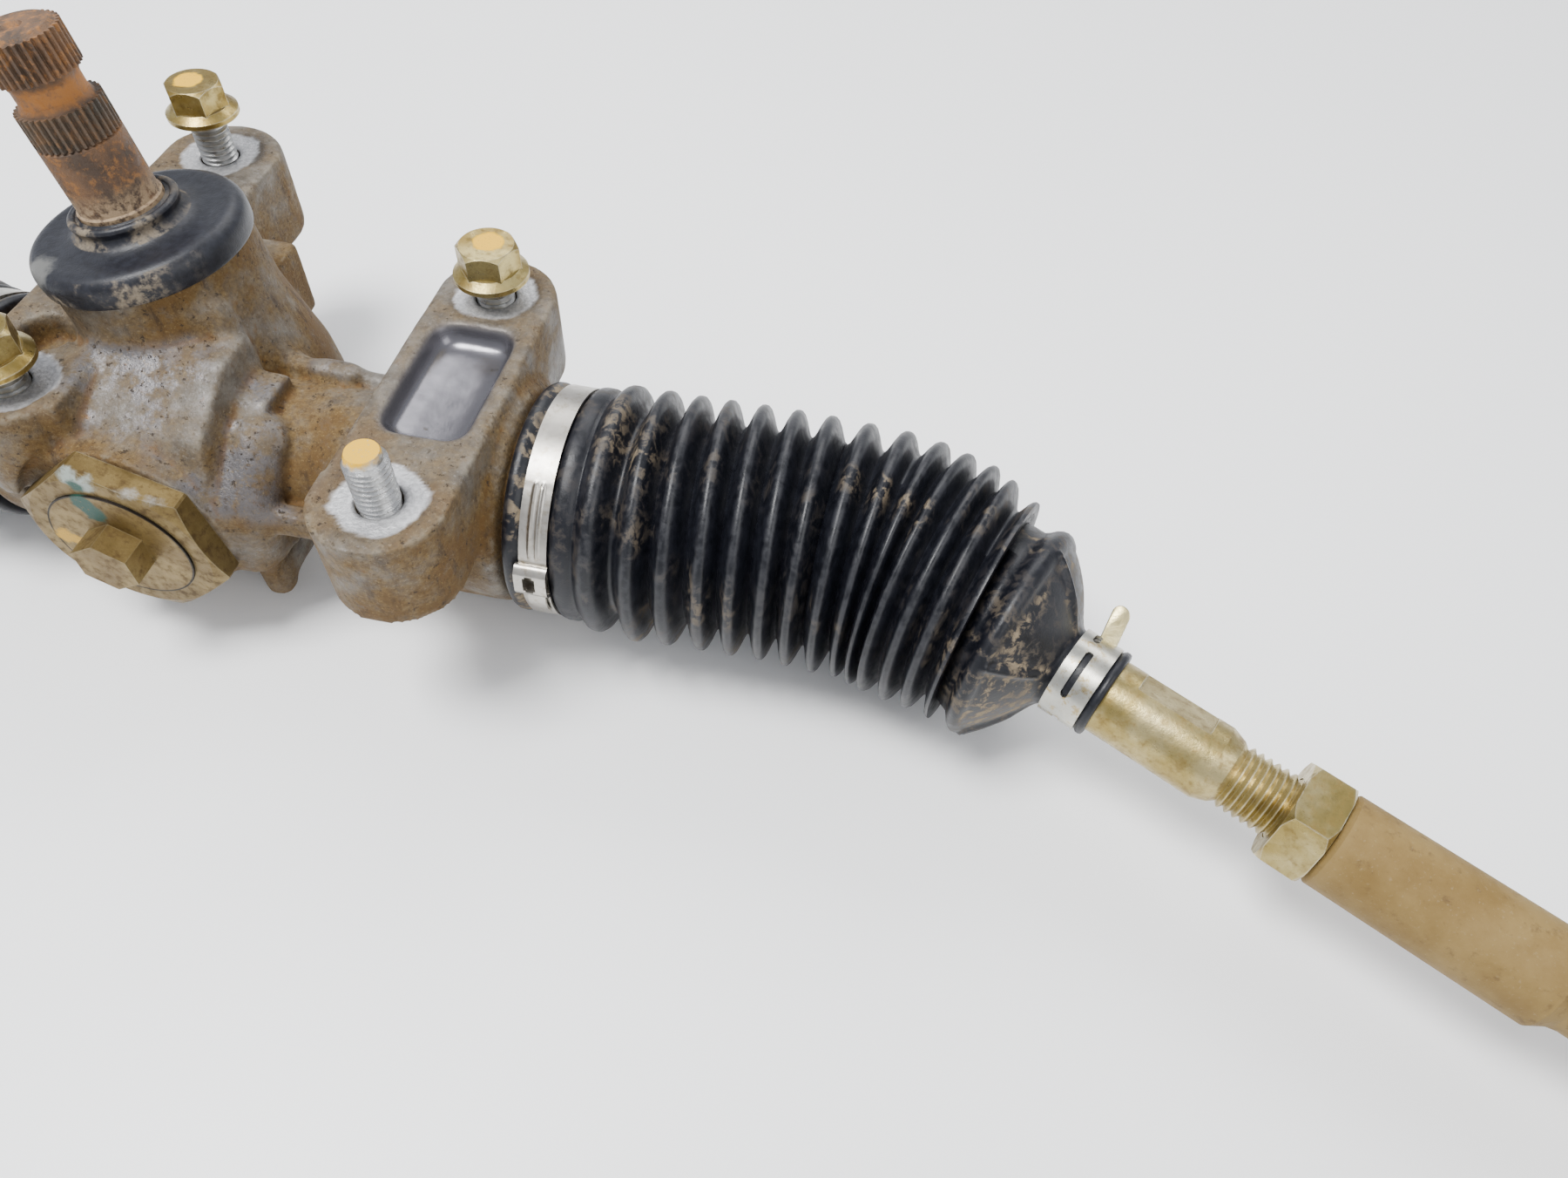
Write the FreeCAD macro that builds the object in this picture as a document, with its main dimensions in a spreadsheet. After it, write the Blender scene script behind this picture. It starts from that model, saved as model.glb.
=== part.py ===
import FreeCAD, Part
import Sketcher
import math
import os

V = FreeCAD.Vector

doc = FreeCAD.newDocument("SteeringRack")

# ---------------------------------------------------------------------------
# Driving dimensions (mm and degrees)
#
# Frame: X runs along the rack bar (the axis is y = 0, z = 0), +Z is the
# direction of the mounting bolts and of the flat mounting pads, and the
# pinion stands behind the rack bar, on its +Y side.  x = 0 is half way
# between the two bellows seats of the casting.
# ---------------------------------------------------------------------------
DIMS = [
    # mounting
    ("pad_height", 32.5), ("bolt_row_x", 49.0), ("bolt_rn_y", -36.5), ("bolt_rf_y", 37.5),
    ("bolt_ln_y", -21.5), ("bolt_lf_y", 78.5), ("bolt_hole_d", 10.5), ("lug_bottom_z", 7.5),
    ("lug_r_right", 15.8), ("lug_r_left", 14.5), ("lug_r_far", 17.0),
    # rack bar and its teeth
    ("rack_d", 25.0), ("rack_bore_d", 26.6), ("tooth_module", 2.1),
    ("pinion_teeth", 9.0), ("pressure_angle", 25.0), ("rack_pitch_y", 8.5), ("rack_addendum", 1.5),
    ("pinion_addendum", 1.9), ("mesh_play", 0.20), ("root_gap", 0.45), ("pinion_tilt", 9.0),
    ("pinion_x", -22.8), ("gear_half", 12.5),
    # pinion shaft, along its own axis measured from the rack axis height
    ("shaft_d", 19.0), ("journal_d", 20.0), ("tail_d", 12.0), ("tail_end", -29.0),
    ("shaft_end", 99.0), ("spline_low_a", 75.5), ("spline_low_b", 83.0), ("spline_top_a", 89.8),
    ("waist_d", 15.0), ("spline_teeth", 36.0), ("spline_depth", 0.8),
    # tower
    ("tower_r", 24.5), ("tower_top", 50.0), ("tower_bottom", -35.0), ("cap_r", 25.5),
    ("bearing_od", 42.0), ("bearing_bore", 20.0), ("bearing_low", 20.0), ("bearing_w", 12.0),
    # rack guide, plug and lock nut on the -Y side
    ("guide_x", -24.0), ("guide_r", 15.0), ("guide_back_y", -26.0), ("guide_boss_r", 24.0),
    ("nut_face_y", -32.5), ("nut_thick", 6.5), ("nut_af", 44.0), ("plug_r", 17.5),
    ("plug_face_y", -39.6), ("plug_in_y", -28.0), ("stub_af", 14.0), ("stub_len", 7.5),
    # casting ends
    ("lip_x", 70.0), ("spigot_end_x", 81.0), ("spigot_r", 25.0), ("end_r", 28.5),
    ("bush_in_x", 56.0), ("bush_out_x", 76.0), ("bush_r", 15.5), ("foot_z", -34.0),
    # inner ball joints
    ("ball_x", 162.0), ("ball_r", 11.0), ("seat_t", 2.0), ("socket_r", 17.5), ("socket_back", 25.0),
    ("socket_front", 7.5), ("washer_t", 2.0),
    # tie rods
    ("neck_d", 13.0), ("rod_d", 19.0), ("rod_start", 40.0), ("flat_a", 68.0), ("flat_b", 86.0),
    ("flat_af", 16.0), ("thread_d", 16.0), ("thread_pitch", 2.0), ("thread_a", 95.0), ("thread_b", 142.0),
    ("nut_a", 107.5), ("nut_b", 117.5), ("jam_af", 24.0), ("sleeve_a", 118.0), ("sleeve_d", 23.0),
    ("sleeve_b", 168.0), ("shank_d", 17.0), ("end_s", 212.0), ("end_r_house", 17.0),
    ("yaw_right", -27.0), ("yaw_left", 16.0), ("pitch_rod", -2.0),
    # bellows
    ("boot_r", 32.5), ("boot_wall", 2.5), ("boot_small_s", 62.6), ("boot_small_r", 10.4),
    # mounting bolts
    ("bolt_d", 9.85), ("bolt_pitch", 1.5), ("bolt_len", 40.0), ("bolt_af", 14.0), ("flange_r", 9.6),
]
sheet = doc.addObject("Spreadsheet::Sheet", "Dims")
for i, (name, value) in enumerate(DIMS, start=1):
    sheet.set("A%d" % i, name)
    sheet.set("B%d" % i, repr(value))
    sheet.setAlias("B%d" % i, name)
doc.recompute()
D = {name: float(sheet.get(name)) for name, value in DIMS}

PARTS = []      # (object, label) written at the end
_n = [0]


def uid(kind):
    _n[0] += 1
    return "%s%03d" % (kind, _n[0])


def keep(obj, label):
    """Give a finished sub-part its own name."""
    obj.Label = label
    PARTS.append((obj, label))
    return obj


def place(obj, pos=(0, 0, 0), axis=(0, 0, 1), spin=0.0):
    """Put a primitive's local Z axis along `axis`, at `pos`."""
    turn = FreeCAD.Rotation(V(0, 0, 1), V(*axis))
    if spin:
        turn = turn.multiply(FreeCAD.Rotation(V(0, 0, 1), spin))
    obj.Placement = FreeCAD.Placement(V(*pos), turn)
    return obj


def cyl(radius, height, pos=(0, 0, 0), axis=(0, 0, 1)):
    """Cylinder; radius and height are numbers or sheet expressions."""
    o = doc.addObject("Part::Cylinder", uid("Cylinder"))
    for prop, val in (("Radius", radius), ("Height", height)):
        if isinstance(val, str):
            o.setExpression(prop, val)
        else:
            setattr(o, prop, val)
    return place(o, pos, axis)


def cone(r1, r2, height, pos=(0, 0, 0), axis=(0, 0, 1)):
    o = doc.addObject("Part::Cone", uid("Cone"))
    for prop, val in (("Radius1", r1), ("Radius2", r2), ("Height", height)):
        if isinstance(val, str):
            o.setExpression(prop, val)
        else:
            setattr(o, prop, val)
    return place(o, pos, axis)


def box(lx, ly, lz, pos):
    o = doc.addObject("Part::Box", uid("Box"))
    for prop, val in (("Length", lx), ("Width", ly), ("Height", lz)):
        if isinstance(val, str):
            o.setExpression(prop, val)
        else:
            setattr(o, prop, val)
    o.Placement = FreeCAD.Placement(V(*pos), FreeCAD.Rotation())
    return o


def torus(r1, r2, pos, axis=(0, 0, 1)):
    o = doc.addObject("Part::Torus", uid("Torus"))
    o.Radius1, o.Radius2 = r1, r2
    return place(o, pos, axis)


def sphere(radius, pos):
    o = doc.addObject("Part::Sphere", uid("Sphere"))
    if isinstance(radius, str):
        o.setExpression("Radius", radius)
    else:
        o.Radius = radius
    o.Placement = FreeCAD.Placement(V(*pos), FreeCAD.Rotation())
    return o


def fuse(items):
    if len(items) == 1:
        return items[0]
    o = doc.addObject("Part::MultiFuse", uid("Fuse"))
    o.Shapes = items
    o.Refine = True
    return o


def cut(base, tools):
    """Cut one or more tools from a base."""
    if not isinstance(tools, (list, tuple)):
        tools = [tools]
    tool = fuse(list(tools)) if len(tools) > 1 else tools[0]
    o = doc.addObject("Part::Cut", uid("Cut"))
    o.Base, o.Tool = base, tool
    o.Refine = True
    return o


def common(a, b):
    o = doc.addObject("Part::MultiCommon", uid("Common"))
    o.Shapes = [a, b]
    return o


def feature(shape):
    """A shape worked out in code from the sheet's sizes."""
    o = doc.addObject("Part::Feature", uid("Shape"))
    o.Shape = shape
    return o


def sketch_on(body, role, points):
    """Closed polygon sketched on one of the body's own origin planes."""
    sk = body.newObject("Sketcher::SketchObject", uid("Sketch"))
    plane = [f for f in body.Origin.OriginFeatures if f.Role == role][0]
    sk.AttachmentSupport = [(plane, "")]
    sk.MapMode = "FlatFace"
    pts = [V(x, y, 0) for x, y in points]
    n = len(pts)
    sk.addGeometry([Part.LineSegment(pts[k], pts[(k + 1) % n]) for k in range(n)], False)
    sk.addConstraint([Sketcher.Constraint("Coincident", k, 2, (k + 1) % n, 1) for k in range(n)])
    return sk


def prism(points, height, pos=(0, 0, 0), axis=(0, 0, 1), spin=0.0):
    """Padded body on a polygon sketched in its XY plane."""
    body = doc.addObject("PartDesign::Body", uid("Body"))
    sk = sketch_on(body, "XY_Plane", points)
    pad_ = body.newObject("PartDesign::Pad", uid("Pad"))
    pad_.Profile = sk
    pad_.Length = height
    doc.recompute()
    return place(body, pos, axis, spin)


def hexagon(af):
    r = af / math.sqrt(3.0)
    return [(r * math.cos(math.radians(60 * k)), r * math.sin(math.radians(60 * k))) for k in range(6)]


def revolve(profile, pos=(0, 0, 0), axis=(0, 0, 1)):
    """Turned body: profile is a closed list of (radius, along) points,
    sketched in its XZ plane and revolved about its Z axis."""
    body = doc.addObject("PartDesign::Body", uid("Body"))
    sk = sketch_on(body, "XZ_Plane", profile)
    rev = body.newObject("PartDesign::Revolution", uid("Revolution"))
    rev.Profile = sk
    rev.ReferenceAxis = (sk, ["V_Axis"])
    rev.Angle = 360.0
    doc.recompute()
    return place(body, pos, axis)


# ---------------------------------------------------------------------------
# Shared directions and points
# ---------------------------------------------------------------------------
tilt = math.radians(D["pinion_tilt"])
pin_axis = V(-math.sin(tilt), 0, math.cos(tilt))
pitch_r = D["tooth_module"] * D["pinion_teeth"] / 2.0
pin_y = D["rack_pitch_y"] + pitch_r
pin_base = V(D["pinion_x"], pin_y, 0)


def on_pin(s):
    p = pin_base + pin_axis * s
    return (p.x, p.y, p.z)


AXP = (pin_axis.x, pin_axis.y, pin_axis.z)
holes = [(D["bolt_row_x"], D["bolt_rn_y"]), (D["bolt_row_x"], D["bolt_rf_y"]),
         (-D["bolt_row_x"], D["bolt_ln_y"]), (-D["bolt_row_x"], D["bolt_lf_y"])]


def rod_dir(side):
    yaw = math.radians(D["yaw_right"] if side > 0 else D["yaw_left"])
    el = math.radians(D["pitch_rod"])
    return V(side * math.cos(el) * math.cos(yaw), math.cos(el) * math.sin(yaw), math.sin(el))


# ---------------------------------------------------------------------------
# Housing: one aluminium casting
# ---------------------------------------------------------------------------
def slot_plan(x, y1, y2, r1, r2, z0, z1):
    """Lug block between two bolt bosses of radius r1 and r2, seen along Z:
    two round ends joined by their outer tangents."""
    d = y2 - y1
    s = (r1 - r2) / d
    c = math.sqrt(1 - s * s)
    n_r, n_l = V(c, s, 0), V(-c, s, 0)
    a1, a2 = V(x, y1, 0), V(x, y2, 0)
    p1, p2 = a1 + n_r * r1, a2 + n_r * r2
    p3, p4 = a2 + n_l * r2, a1 + n_l * r1
    wire = Part.Wire([Part.makeLine(p1, p2),
                      Part.Arc(p2, a2 + V(0, r2, 0), p3).toShape(),
                      Part.makeLine(p3, p4),
                      Part.Arc(p4, a1 + V(0, -r1, 0), p1).toShape()])
    o = feature(Part.Face(wire).extrude(V(0, 0, z1 - z0)))
    o.Placement = FreeCAD.Placement(V(0, 0, z0), FreeCAD.Rotation())
    return o


pad = D["pad_height"]
low = D["lug_bottom_z"]
bx = D["bolt_row_x"]
cast = []
# rack tube and its round ends
cast.append(cyl(20.5, 2 * 66.0, (-66.0, 0, 0), (1, 0, 0)))
for sgn in (1, -1):
    cast.append(cyl("Dims.end_r", 68.0 - 36.0, (sgn * 36.0, 0, 0), (sgn, 0, 0)))
    cast.append(cone(20.5, "Dims.end_r", 8.0, (sgn * 28.0, 0, 0), (sgn, 0, 0)))
    cast.append(cyl("Dims.spigot_r", "Dims.spigot_end_x - 60", (sgn * 60.0, 0, 0), (sgn, 0, 0)))
# mounting lugs: right pair astride the rack, left pair astride the tower
cast.append(slot_plan(bx, D["bolt_rn_y"], D["bolt_rf_y"], D["lug_r_right"], D["lug_r_right"], low, pad))
# (the left pad stops short of the leaning tower)
moat_c = pin_base + pin_axis * (pad + 4.0)
cast.append(cut(slot_plan(-bx, D["bolt_ln_y"], D["bolt_lf_y"], D["lug_r_left"], D["lug_r_far"], low, pad),
                cyl(27.2, 6.0, (moat_c.x, moat_c.y, pad - 1.6))))
# thick middle of the right lug block and a flat foot under each end
cast.append(box(29.0, 44.0, 34.0, (bx - 14.5, -22.0, -6.0)))
cast.append(box(27.0, 60.0, 34.0, (-bx - 13.5, -14.0, -6.0)))
for sgn in (1, -1):
    cast.append(box(22.0, 31.0, 16.0, (sgn * bx - 11.0, -9.0, D["foot_z"])))
# pinion tower, flared towards the rack, with the lower bearing cup
cast.append(cyl("Dims.tower_r", "Dims.tower_top + 6", on_pin(-6.0), AXP))
cast.append(cone(28.5, "Dims.tower_r", 22.0, on_pin(6.0), AXP))
cast.append(cyl(28.5, 16.2, on_pin(-10.0), AXP))
cast.append(cyl(17.0, "-Dims.tower_bottom - 6", on_pin(D["tower_bottom"]), AXP))
# rack guide boss towards -Y
gx = D["guide_x"]
cast.append(cyl("Dims.guide_boss_r", "-Dims.nut_face_y", (gx, 0, 0), (0, -1, 0)))
cast.append(cone(30.0, 25.0, 24.0, (gx, 0, 0), (0, -1, 0)))
# sloping shoulder between the tower and the guide boss, with a lower step
# towards the rack tube
def shoulder(profile, x0, x1):
    """Block with a (y, z) outline, running along X from x0 to x1."""
    return prism([(zz, y) for y, zz in profile], x1 - x0, (x1, 0, 0), (-1, 0, 0))


cast.append(shoulder([(6, 34.5), (-6, 34.5), (-24.5, 25.0), (-28.5, 14.0), (-28.5, -17.0), (-20, -23.0), (6, -23.0)],
                     -36.0, -2.0))
cast.append(shoulder([(4, 25.0), (-8, 25.0), (-21, 16.0), (-24, 6.0), (-24, -16.0), (4, -16.0)], -2.5, 6.0))
# web behind the rack, from the tower to the far left lug
cast.append(box(36.0, 12.0, 22.0, (-bx - 4.0, 44.0, 2.0)))
# small ribs: round rib on top of the tube, flat web in front, lug below
cast.append(cyl(3.2, 54.0, (-18.0, 13.5, 16.5), (1, 0, 0)))
cast.append(box(34.0, 5.0, 8.0, (0.0, -27.0, -2.0)))
cast.append(box(34.0, 12.0, 5.0, (0.0, -25.0, -0.5)))
cast.append(cyl(4.2, 12.0, (-0.5, -22.0, -31.0), (0, 0, 1)))
cast.append(box(8.4, 16.0, 9.0, (-4.7, -22.0, -28.0)))
# raised edge beside the near left bolt pad
cast.append(box(5.5, 31.0, 14.0, (-bx + 10.6, -28.0, 19.0)))
casting = fuse(cast)

cuts = []
# main bore, bush seats and end counterbores
cuts.append(cyl("Dims.rack_bore_d / 2", 200.0, (-100.0, 0, 0), (1, 0, 0)))
cuts.append(cyl("Dims.bush_r", 60.0, (D["bush_in_x"], 0, 0), (1, 0, 0)))
cuts.append(cyl(17.0, 30.0, (-D["bush_in_x"], 0, 0), (-1, 0, 0)))
# pinion bores: gear room, upper bearing, seal, lower needle bearing
cuts.append(cyl(12.6, 60.0, on_pin(-18.0), AXP))
cuts.append(cyl("Dims.bearing_od / 2", 60.0, on_pin(D["bearing_low"]), AXP))
cuts.append(cyl(8.5, 20.0, on_pin(-30.0), AXP))
# guide bore and its threaded mouth
cuts.append(cyl("Dims.guide_r + 0.05", 60.0, (gx, 0, 0), (0, -1, 0)))
cuts.append(cyl(16.0, 20.0, (gx, D["plug_in_y"] + 0.5, 0), (0, -1, 0)))
# room for turning the lock nut
cuts.append(cyl("Dims.nut_af / 1.732 + 1.4", 20.0, (gx, D["nut_face_y"], 0), (0, -1, 0)))
# bolt holes, cast pockets and the spot faces round the holes
for hx, hy in holes:
    cuts.append(cyl("Dims.bolt_hole_d / 2", 80.0, (hx, hy, -30.0)))
    cuts.append(cyl(12.0, 2.0, (hx, hy, pad - 0.4)))
    cuts.append(cyl(10.6, 30.0, (hx, hy, low - 29.4)))
bare = cut(casting, cuts)


def rounded_pocket(lx, ly, depth, r, cx, cy, ztop):
    """Round-cornered recess narrowing to its floor."""
    pts = [(-lx / 2, -ly / 2), (lx / 2, -ly / 2), (lx / 2, ly / 2), (-lx / 2, ly / 2)]
    wire = Part.makePolygon([V(x, y, 0) for x, y in pts + pts[:1]])
    solid = Part.Face(wire).extrude(V(0, 0, -depth))
    up = [e for e in solid.Edges if abs(e.Vertexes[0].Z - e.Vertexes[1].Z) > 1.0]
    solid = solid.makeFillet(r, up)
    bottom = [e for e in solid.Edges
              if all(abs(v.Z + depth) < 1e-6 for v in e.Vertexes)]
    solid = solid.makeFillet(3.0, bottom)
    o = feature(solid)
    o.Placement = FreeCAD.Placement(V(cx, cy, ztop), FreeCAD.Rotation())
    return o


pocket = rounded_pocket(21.0, 39.0, 6.0, 5.0, bx + 0.4, 4.0, pad + 0.01)
dimple = cyl(6.8, 9.0, (-bx - 2.0, -3.5, pad - 8.0))
# the round rib's shallow recess
recess = box(16.0, 3.0, 2.0, (4.0, 12.0, 18.9))
housing = cut(bare, [pocket, dimple, recess])
keep(housing, "housing")

# ---------------------------------------------------------------------------
# Pinion: gear teeth, journals, plain shaft, two serrated zones and a waist
# ---------------------------------------------------------------------------
alpha = math.radians(D["pressure_angle"])
m = D["tooth_module"]
z = int(D["pinion_teeth"])
rb = pitch_r * math.cos(alpha)
ra = pitch_r + D["pinion_addendum"]
rf = pitch_r - D["rack_addendum"] - D["root_gap"]
play = D["mesh_play"]


def inv(a):
    return math.tan(a) - a


half_pitch = (math.pi * m / 2.0 - play) / (2.0 * pitch_r)     # half tooth angle at the pitch circle


def half_angle(r):
    a = math.acos(min(1.0, rb / r))
    return half_pitch + inv(alpha) - inv(a)


def gear_outline():
    """Closed outline of the pinion in its own cross-section; a tooth space
    faces local angle 0."""
    pts = []
    step = 2 * math.pi / z
    radii = [max(rb, rf) + (ra - max(rb, rf)) * (k / 7.0) for k in range(8)]
    for t in range(z):
        mid = (t + 0.5) * step
        left = []
        h0 = half_angle(radii[0])
        left.append((rf, mid - h0 - 0.02))
        for r in radii:
            left.append((r, mid - half_angle(r)))
        right = [(r, 2 * mid - a) for r, a in reversed(left)]
        pts += left + right
    return [(r * math.cos(a), r * math.sin(a)) for r, a in pts]


# The local X axis of the gear section looks from the pinion towards the rack.
toward = V(0, -1, 0)
side = pin_axis.cross(toward)
gear_rot = FreeCAD.Rotation(FreeCAD.Matrix(toward.x, side.x, pin_axis.x, 0,
                                            toward.y, side.y, pin_axis.y, 0,
                                            toward.z, side.z, pin_axis.z, 0,
                                            0, 0, 0, 1))


def section_prism(outline, s0, s1):
    pts = [V(x, y, 0) for x, y in outline]
    o = feature(Part.Face(Part.makePolygon(pts + [pts[0]])).extrude(V(0, 0, s1 - s0)))
    o.Placement = FreeCAD.Placement(pin_base + pin_axis * s0, gear_rot)
    return o


def spline_outline(r_out, depth, n):
    pts = []
    step = 2 * math.pi / n
    for k in range(n):
        a = k * step
        pts += [(r_out - depth, a), (r_out - depth, a + 0.12 * step),
                (r_out, a + 0.40 * step), (r_out, a + 0.72 * step)]
    return [(r * math.cos(a), r * math.sin(a)) for r, a in pts]


g = D["gear_half"]
sr = D["shaft_d"] / 2.0
jr = D["journal_d"] / 2.0
tail = D["tail_d"] / 2.0
wr = D["waist_d"] / 2.0
stem = revolve([(0, D["tail_end"]), (tail - 0.6, D["tail_end"]), (tail, D["tail_end"] + 0.6), (tail, -g - 1.0),
                (rf, -g), (rf, g), (jr, g + 3.0), (jr, 59.2),
                (sr, 59.6), (sr, D["spline_low_a"] - 0.5),
                (sr - 0.9, D["spline_low_a"]), (sr - 0.9, D["spline_low_b"] - 0.6),
                (wr, D["spline_low_b"] + 1.4), (wr, D["spline_top_a"] - 2.2),
                (sr - 0.9, D["spline_top_a"] + 0.6), (sr - 0.9, D["shaft_end"] - 1.0),
                (sr - 1.9, D["shaft_end"]), (2.4, D["shaft_end"]), (0, D["shaft_end"] - 2.2)],
               (pin_base.x, pin_base.y, pin_base.z), AXP)
gear = section_prism(gear_outline(), -g, g)
low_spline = section_prism(spline_outline(sr, D["spline_depth"], int(D["spline_teeth"])),
                           D["spline_low_a"], D["spline_low_b"])
top_spline = section_prism(spline_outline(sr, D["spline_depth"], int(D["spline_teeth"])),
                           D["spline_top_a"], D["shaft_end"] - 0.8)
keep(fuse([stem, gear, low_spline, top_spline]), "pinion_shaft")

# ---------------------------------------------------------------------------
# Rack bar: round bar, toothed on its +Y side over the working length
# ---------------------------------------------------------------------------
rr = D["rack_d"] / 2.0
rp = D["rack_pitch_y"]
tip_y = rp + D["rack_addendum"]
root_y = rp - D["pinion_addendum"] - D["root_gap"]
normal_pitch = math.pi * m
pitch_x = normal_pitch / math.cos(tilt)
n_teeth = 19
tan_a = math.tan(alpha)


def rack_cutter():
    """Everything removed behind the tooth tips and in the tooth spaces, drawn
    across the teeth and swept along them."""
    u_dir = V(math.cos(tilt), 0, math.sin(tilt))
    half = (normal_pitch / 2.0 - play) / 2.0          # half tooth at the pitch line
    t_tip = half - D["rack_addendum"] * tan_a
    t_root = half + (rp - root_y) * tan_a
    first = -(n_teeth - 1) / 2.0
    ends = (n_teeth / 2.0) * normal_pitch + 2.0
    top = rr + 6.0
    pts = [(-ends, top), (-ends, tip_y)]
    for k in range(n_teeth):
        c = (first + k) * normal_pitch
        pts += [(c - t_tip, tip_y), ] if k == 0 else [(c - t_root, root_y), (c - t_tip, tip_y)]
        pts += [(c + t_tip, tip_y)] if k == n_teeth - 1 else [(c + t_tip, tip_y), (c + t_root, root_y)]
    pts += [(ends, tip_y), (ends, top)]
    origin = V(D["pinion_x"], 0, 0) - pin_axis * 30.0
    face = Part.Face(Part.makePolygon([origin + u_dir * u + V(0, y, 0) for u, y in pts + pts[:1]]))
    return feature(face.extrude(pin_axis * 60.0))


# The bar's ends stop inside the inner ball joints' threads.
end_face = D["ball_x"] - D["socket_back"]
bar = fuse([cyl("Dims.rack_d / 2", 2 * end_face, (-end_face, 0, 0), (1, 0, 0)),
            cyl(7.0, 2 * (end_face + 10.0), (-end_face - 10.0, 0, 0), (1, 0, 0))])
keep(cut(bar, rack_cutter()), "rack_bar")

# ---------------------------------------------------------------------------
# Pinion bearings, seal and cap
# ---------------------------------------------------------------------------
b0 = D["bearing_low"]
bw = D["bearing_w"]
bo = D["bearing_od"] / 2.0
bi = D["bearing_bore"] / 2.0
rc = (bo + bi) / 2.0
groove = 3.35
outer = cut(cut(cyl(bo, bw, on_pin(b0), AXP), cyl(bo - 3.3, bw + 2, on_pin(b0 - 1), AXP)),
            torus(rc, groove, on_pin(b0 + bw / 2), AXP))
keep(outer, "pinion_bearing_outer_race")
inner = cut(cut(cyl(bi + 3.3, bw, on_pin(b0), AXP), cyl(bi, bw + 2, on_pin(b0 - 1), AXP)),
            torus(rc, groove, on_pin(b0 + bw / 2), AXP))
keep(inner, "pinion_bearing_inner_race")


def ring_of_balls(count, r_ring, r_ball, s):
    shapes = []
    x_dir, y_dir = toward, side
    c = pin_base + pin_axis * s
    for k in range(count):
        a = 2 * math.pi * k / count
        p = c + x_dir * (r_ring * math.cos(a)) + y_dir * (r_ring * math.sin(a))
        shapes.append(Part.makeSphere(r_ball, p))
    return feature(Part.makeCompound(shapes))


keep(ring_of_balls(9, rc, 3.175, b0 + bw / 2), "pinion_bearing_balls")
keep(revolve([(6.03, -29.0), (8.5, -29.0), (8.5, -18.6), (6.03, -18.6)], on_pin(0), AXP), "pinion_lower_bush")
# retaining ring above the bearing, in the tower bore
ring = cut(cyl(20.9, 1.8, on_pin(b0 + bw + 0.1), AXP), cyl(17.6, 4.0, on_pin(b0 + bw - 1), AXP))
ring = cut(ring, box(6.0, 30.0, 12.0, (on_pin(b0 + bw)[0] - 3.0, pin_y - 26.0, on_pin(b0 + bw)[2] - 5.0)))
keep(ring, "retaining_ring")
keep(revolve([(10.05, 36.0), (11.0, 35.0), (11.5, 36.4), (18.6, 36.4), (18.6, 34.6), (20.95, 34.6), (20.95, 41.5),
              (18.0, 41.5), (12.3, 40.8), (11.2, 41.5), (10.05, 39.6)], on_pin(0), AXP), "pinion_oil_seal")
# dust cap: turned rubber cover with a collar round the shaft
cr = D["cap_r"]
tt = D["tower_top"]
keep(revolve([(10.1, tt + 2.4), (10.1, 58.4), (11.4, 58.9), (12.6, 58.0), (12.4, 56.6), (13.6, 55.2), (16.0, 54.2),
              (21.6, 53.8), (24.2, 53.0), (25.4, 51.4), (cr + 0.4, 48.6), (cr, 46.0), (24.6, 46.0), (24.6, tt + 0.1),
              (13.4, tt + 0.1), (13.4, tt + 2.4)], on_pin(0), AXP), "pinion_dust_cap")

# ---------------------------------------------------------------------------
# Rack guide, spring, O-ring, plug and lock nut
# ---------------------------------------------------------------------------
gb = D["guide_back_y"]
yoke = cyl("Dims.guide_r", "-Dims.guide_back_y - 3", (gx, -3.0, 0), (0, -1, 0))
saddle = cyl("Dims.rack_d / 2 + 0.05", 60.0, (gx - 30.0, 0, 0), (1, 0, 0))
spring_room = cyl(8.5, 10.0, (gx, gb + 9.0, 0), (0, -1, 0))
o_groove = cut(cyl(16.5, 2.6, (gx, gb + 5.2, 0), (0, -1, 0)), cyl(13.2, 4.0, (gx, gb + 6.0, 0), (0, -1, 0)))
keep(cut(yoke, [saddle, spring_room, o_groove]), "rack_guide")
keep(torus(14.15, 0.88, (gx, gb + 3.9, 0), (0, 1, 0)), "guide_o_ring")
helix = Part.makeHelix(3.2, 10.6, 6.6)
start = V(6.6, 0, 0)
section = Part.Wire([Part.Circle(start, V(0, 1, 0), 1.0).toShape()])
coil = Part.Wire(helix).makePipeShell([section], True, True)
spring = feature(coil)
spring.Placement = FreeCAD.Placement(V(gx, gb + 7.8, 0), FreeCAD.Rotation(V(0, 0, 1), V(0, -1, 0)))
keep(spring, "guide_spring")
pf = D["plug_face_y"]
pi_y = D["plug_in_y"]
plug = fuse([cyl("Dims.plug_r - 1.55", abs(pf - pi_y) - 0.1, (gx, pi_y, 0), (0, -1, 0)),
             cyl("Dims.plug_r", 5.9, (gx, D["nut_face_y"] - 1.2, 0), (0, -1, 0)),
             prism(hexagon(D["stub_af"]), D["stub_len"] + 1.0, (gx, pf + 1.0, 0), (0, -1, 0), 30.0)])
plug = cut(plug, cyl(8.6, 8.0, (gx, pi_y + 1.0, 0), (0, -1, 0)))
keep(plug, "adjuster_plug")
lock = common(prism(hexagon(D["nut_af"]), D["nut_thick"], (gx, D["nut_face_y"], 0), (0, -1, 0), 40.0),
              revolve([(0, 0), (25.2, 0), (25.2, D["nut_thick"] - 1.6), (21.9, D["nut_thick"]), (0, D["nut_thick"])],
                      (gx, D["nut_face_y"], 0), (0, -1, 0)))
keep(cut(lock, cyl("Dims.plug_r + 0.02", 20.0, (gx, D["nut_face_y"] + 5, 0), (0, -1, 0))), "adjuster_lock_nut")

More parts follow.
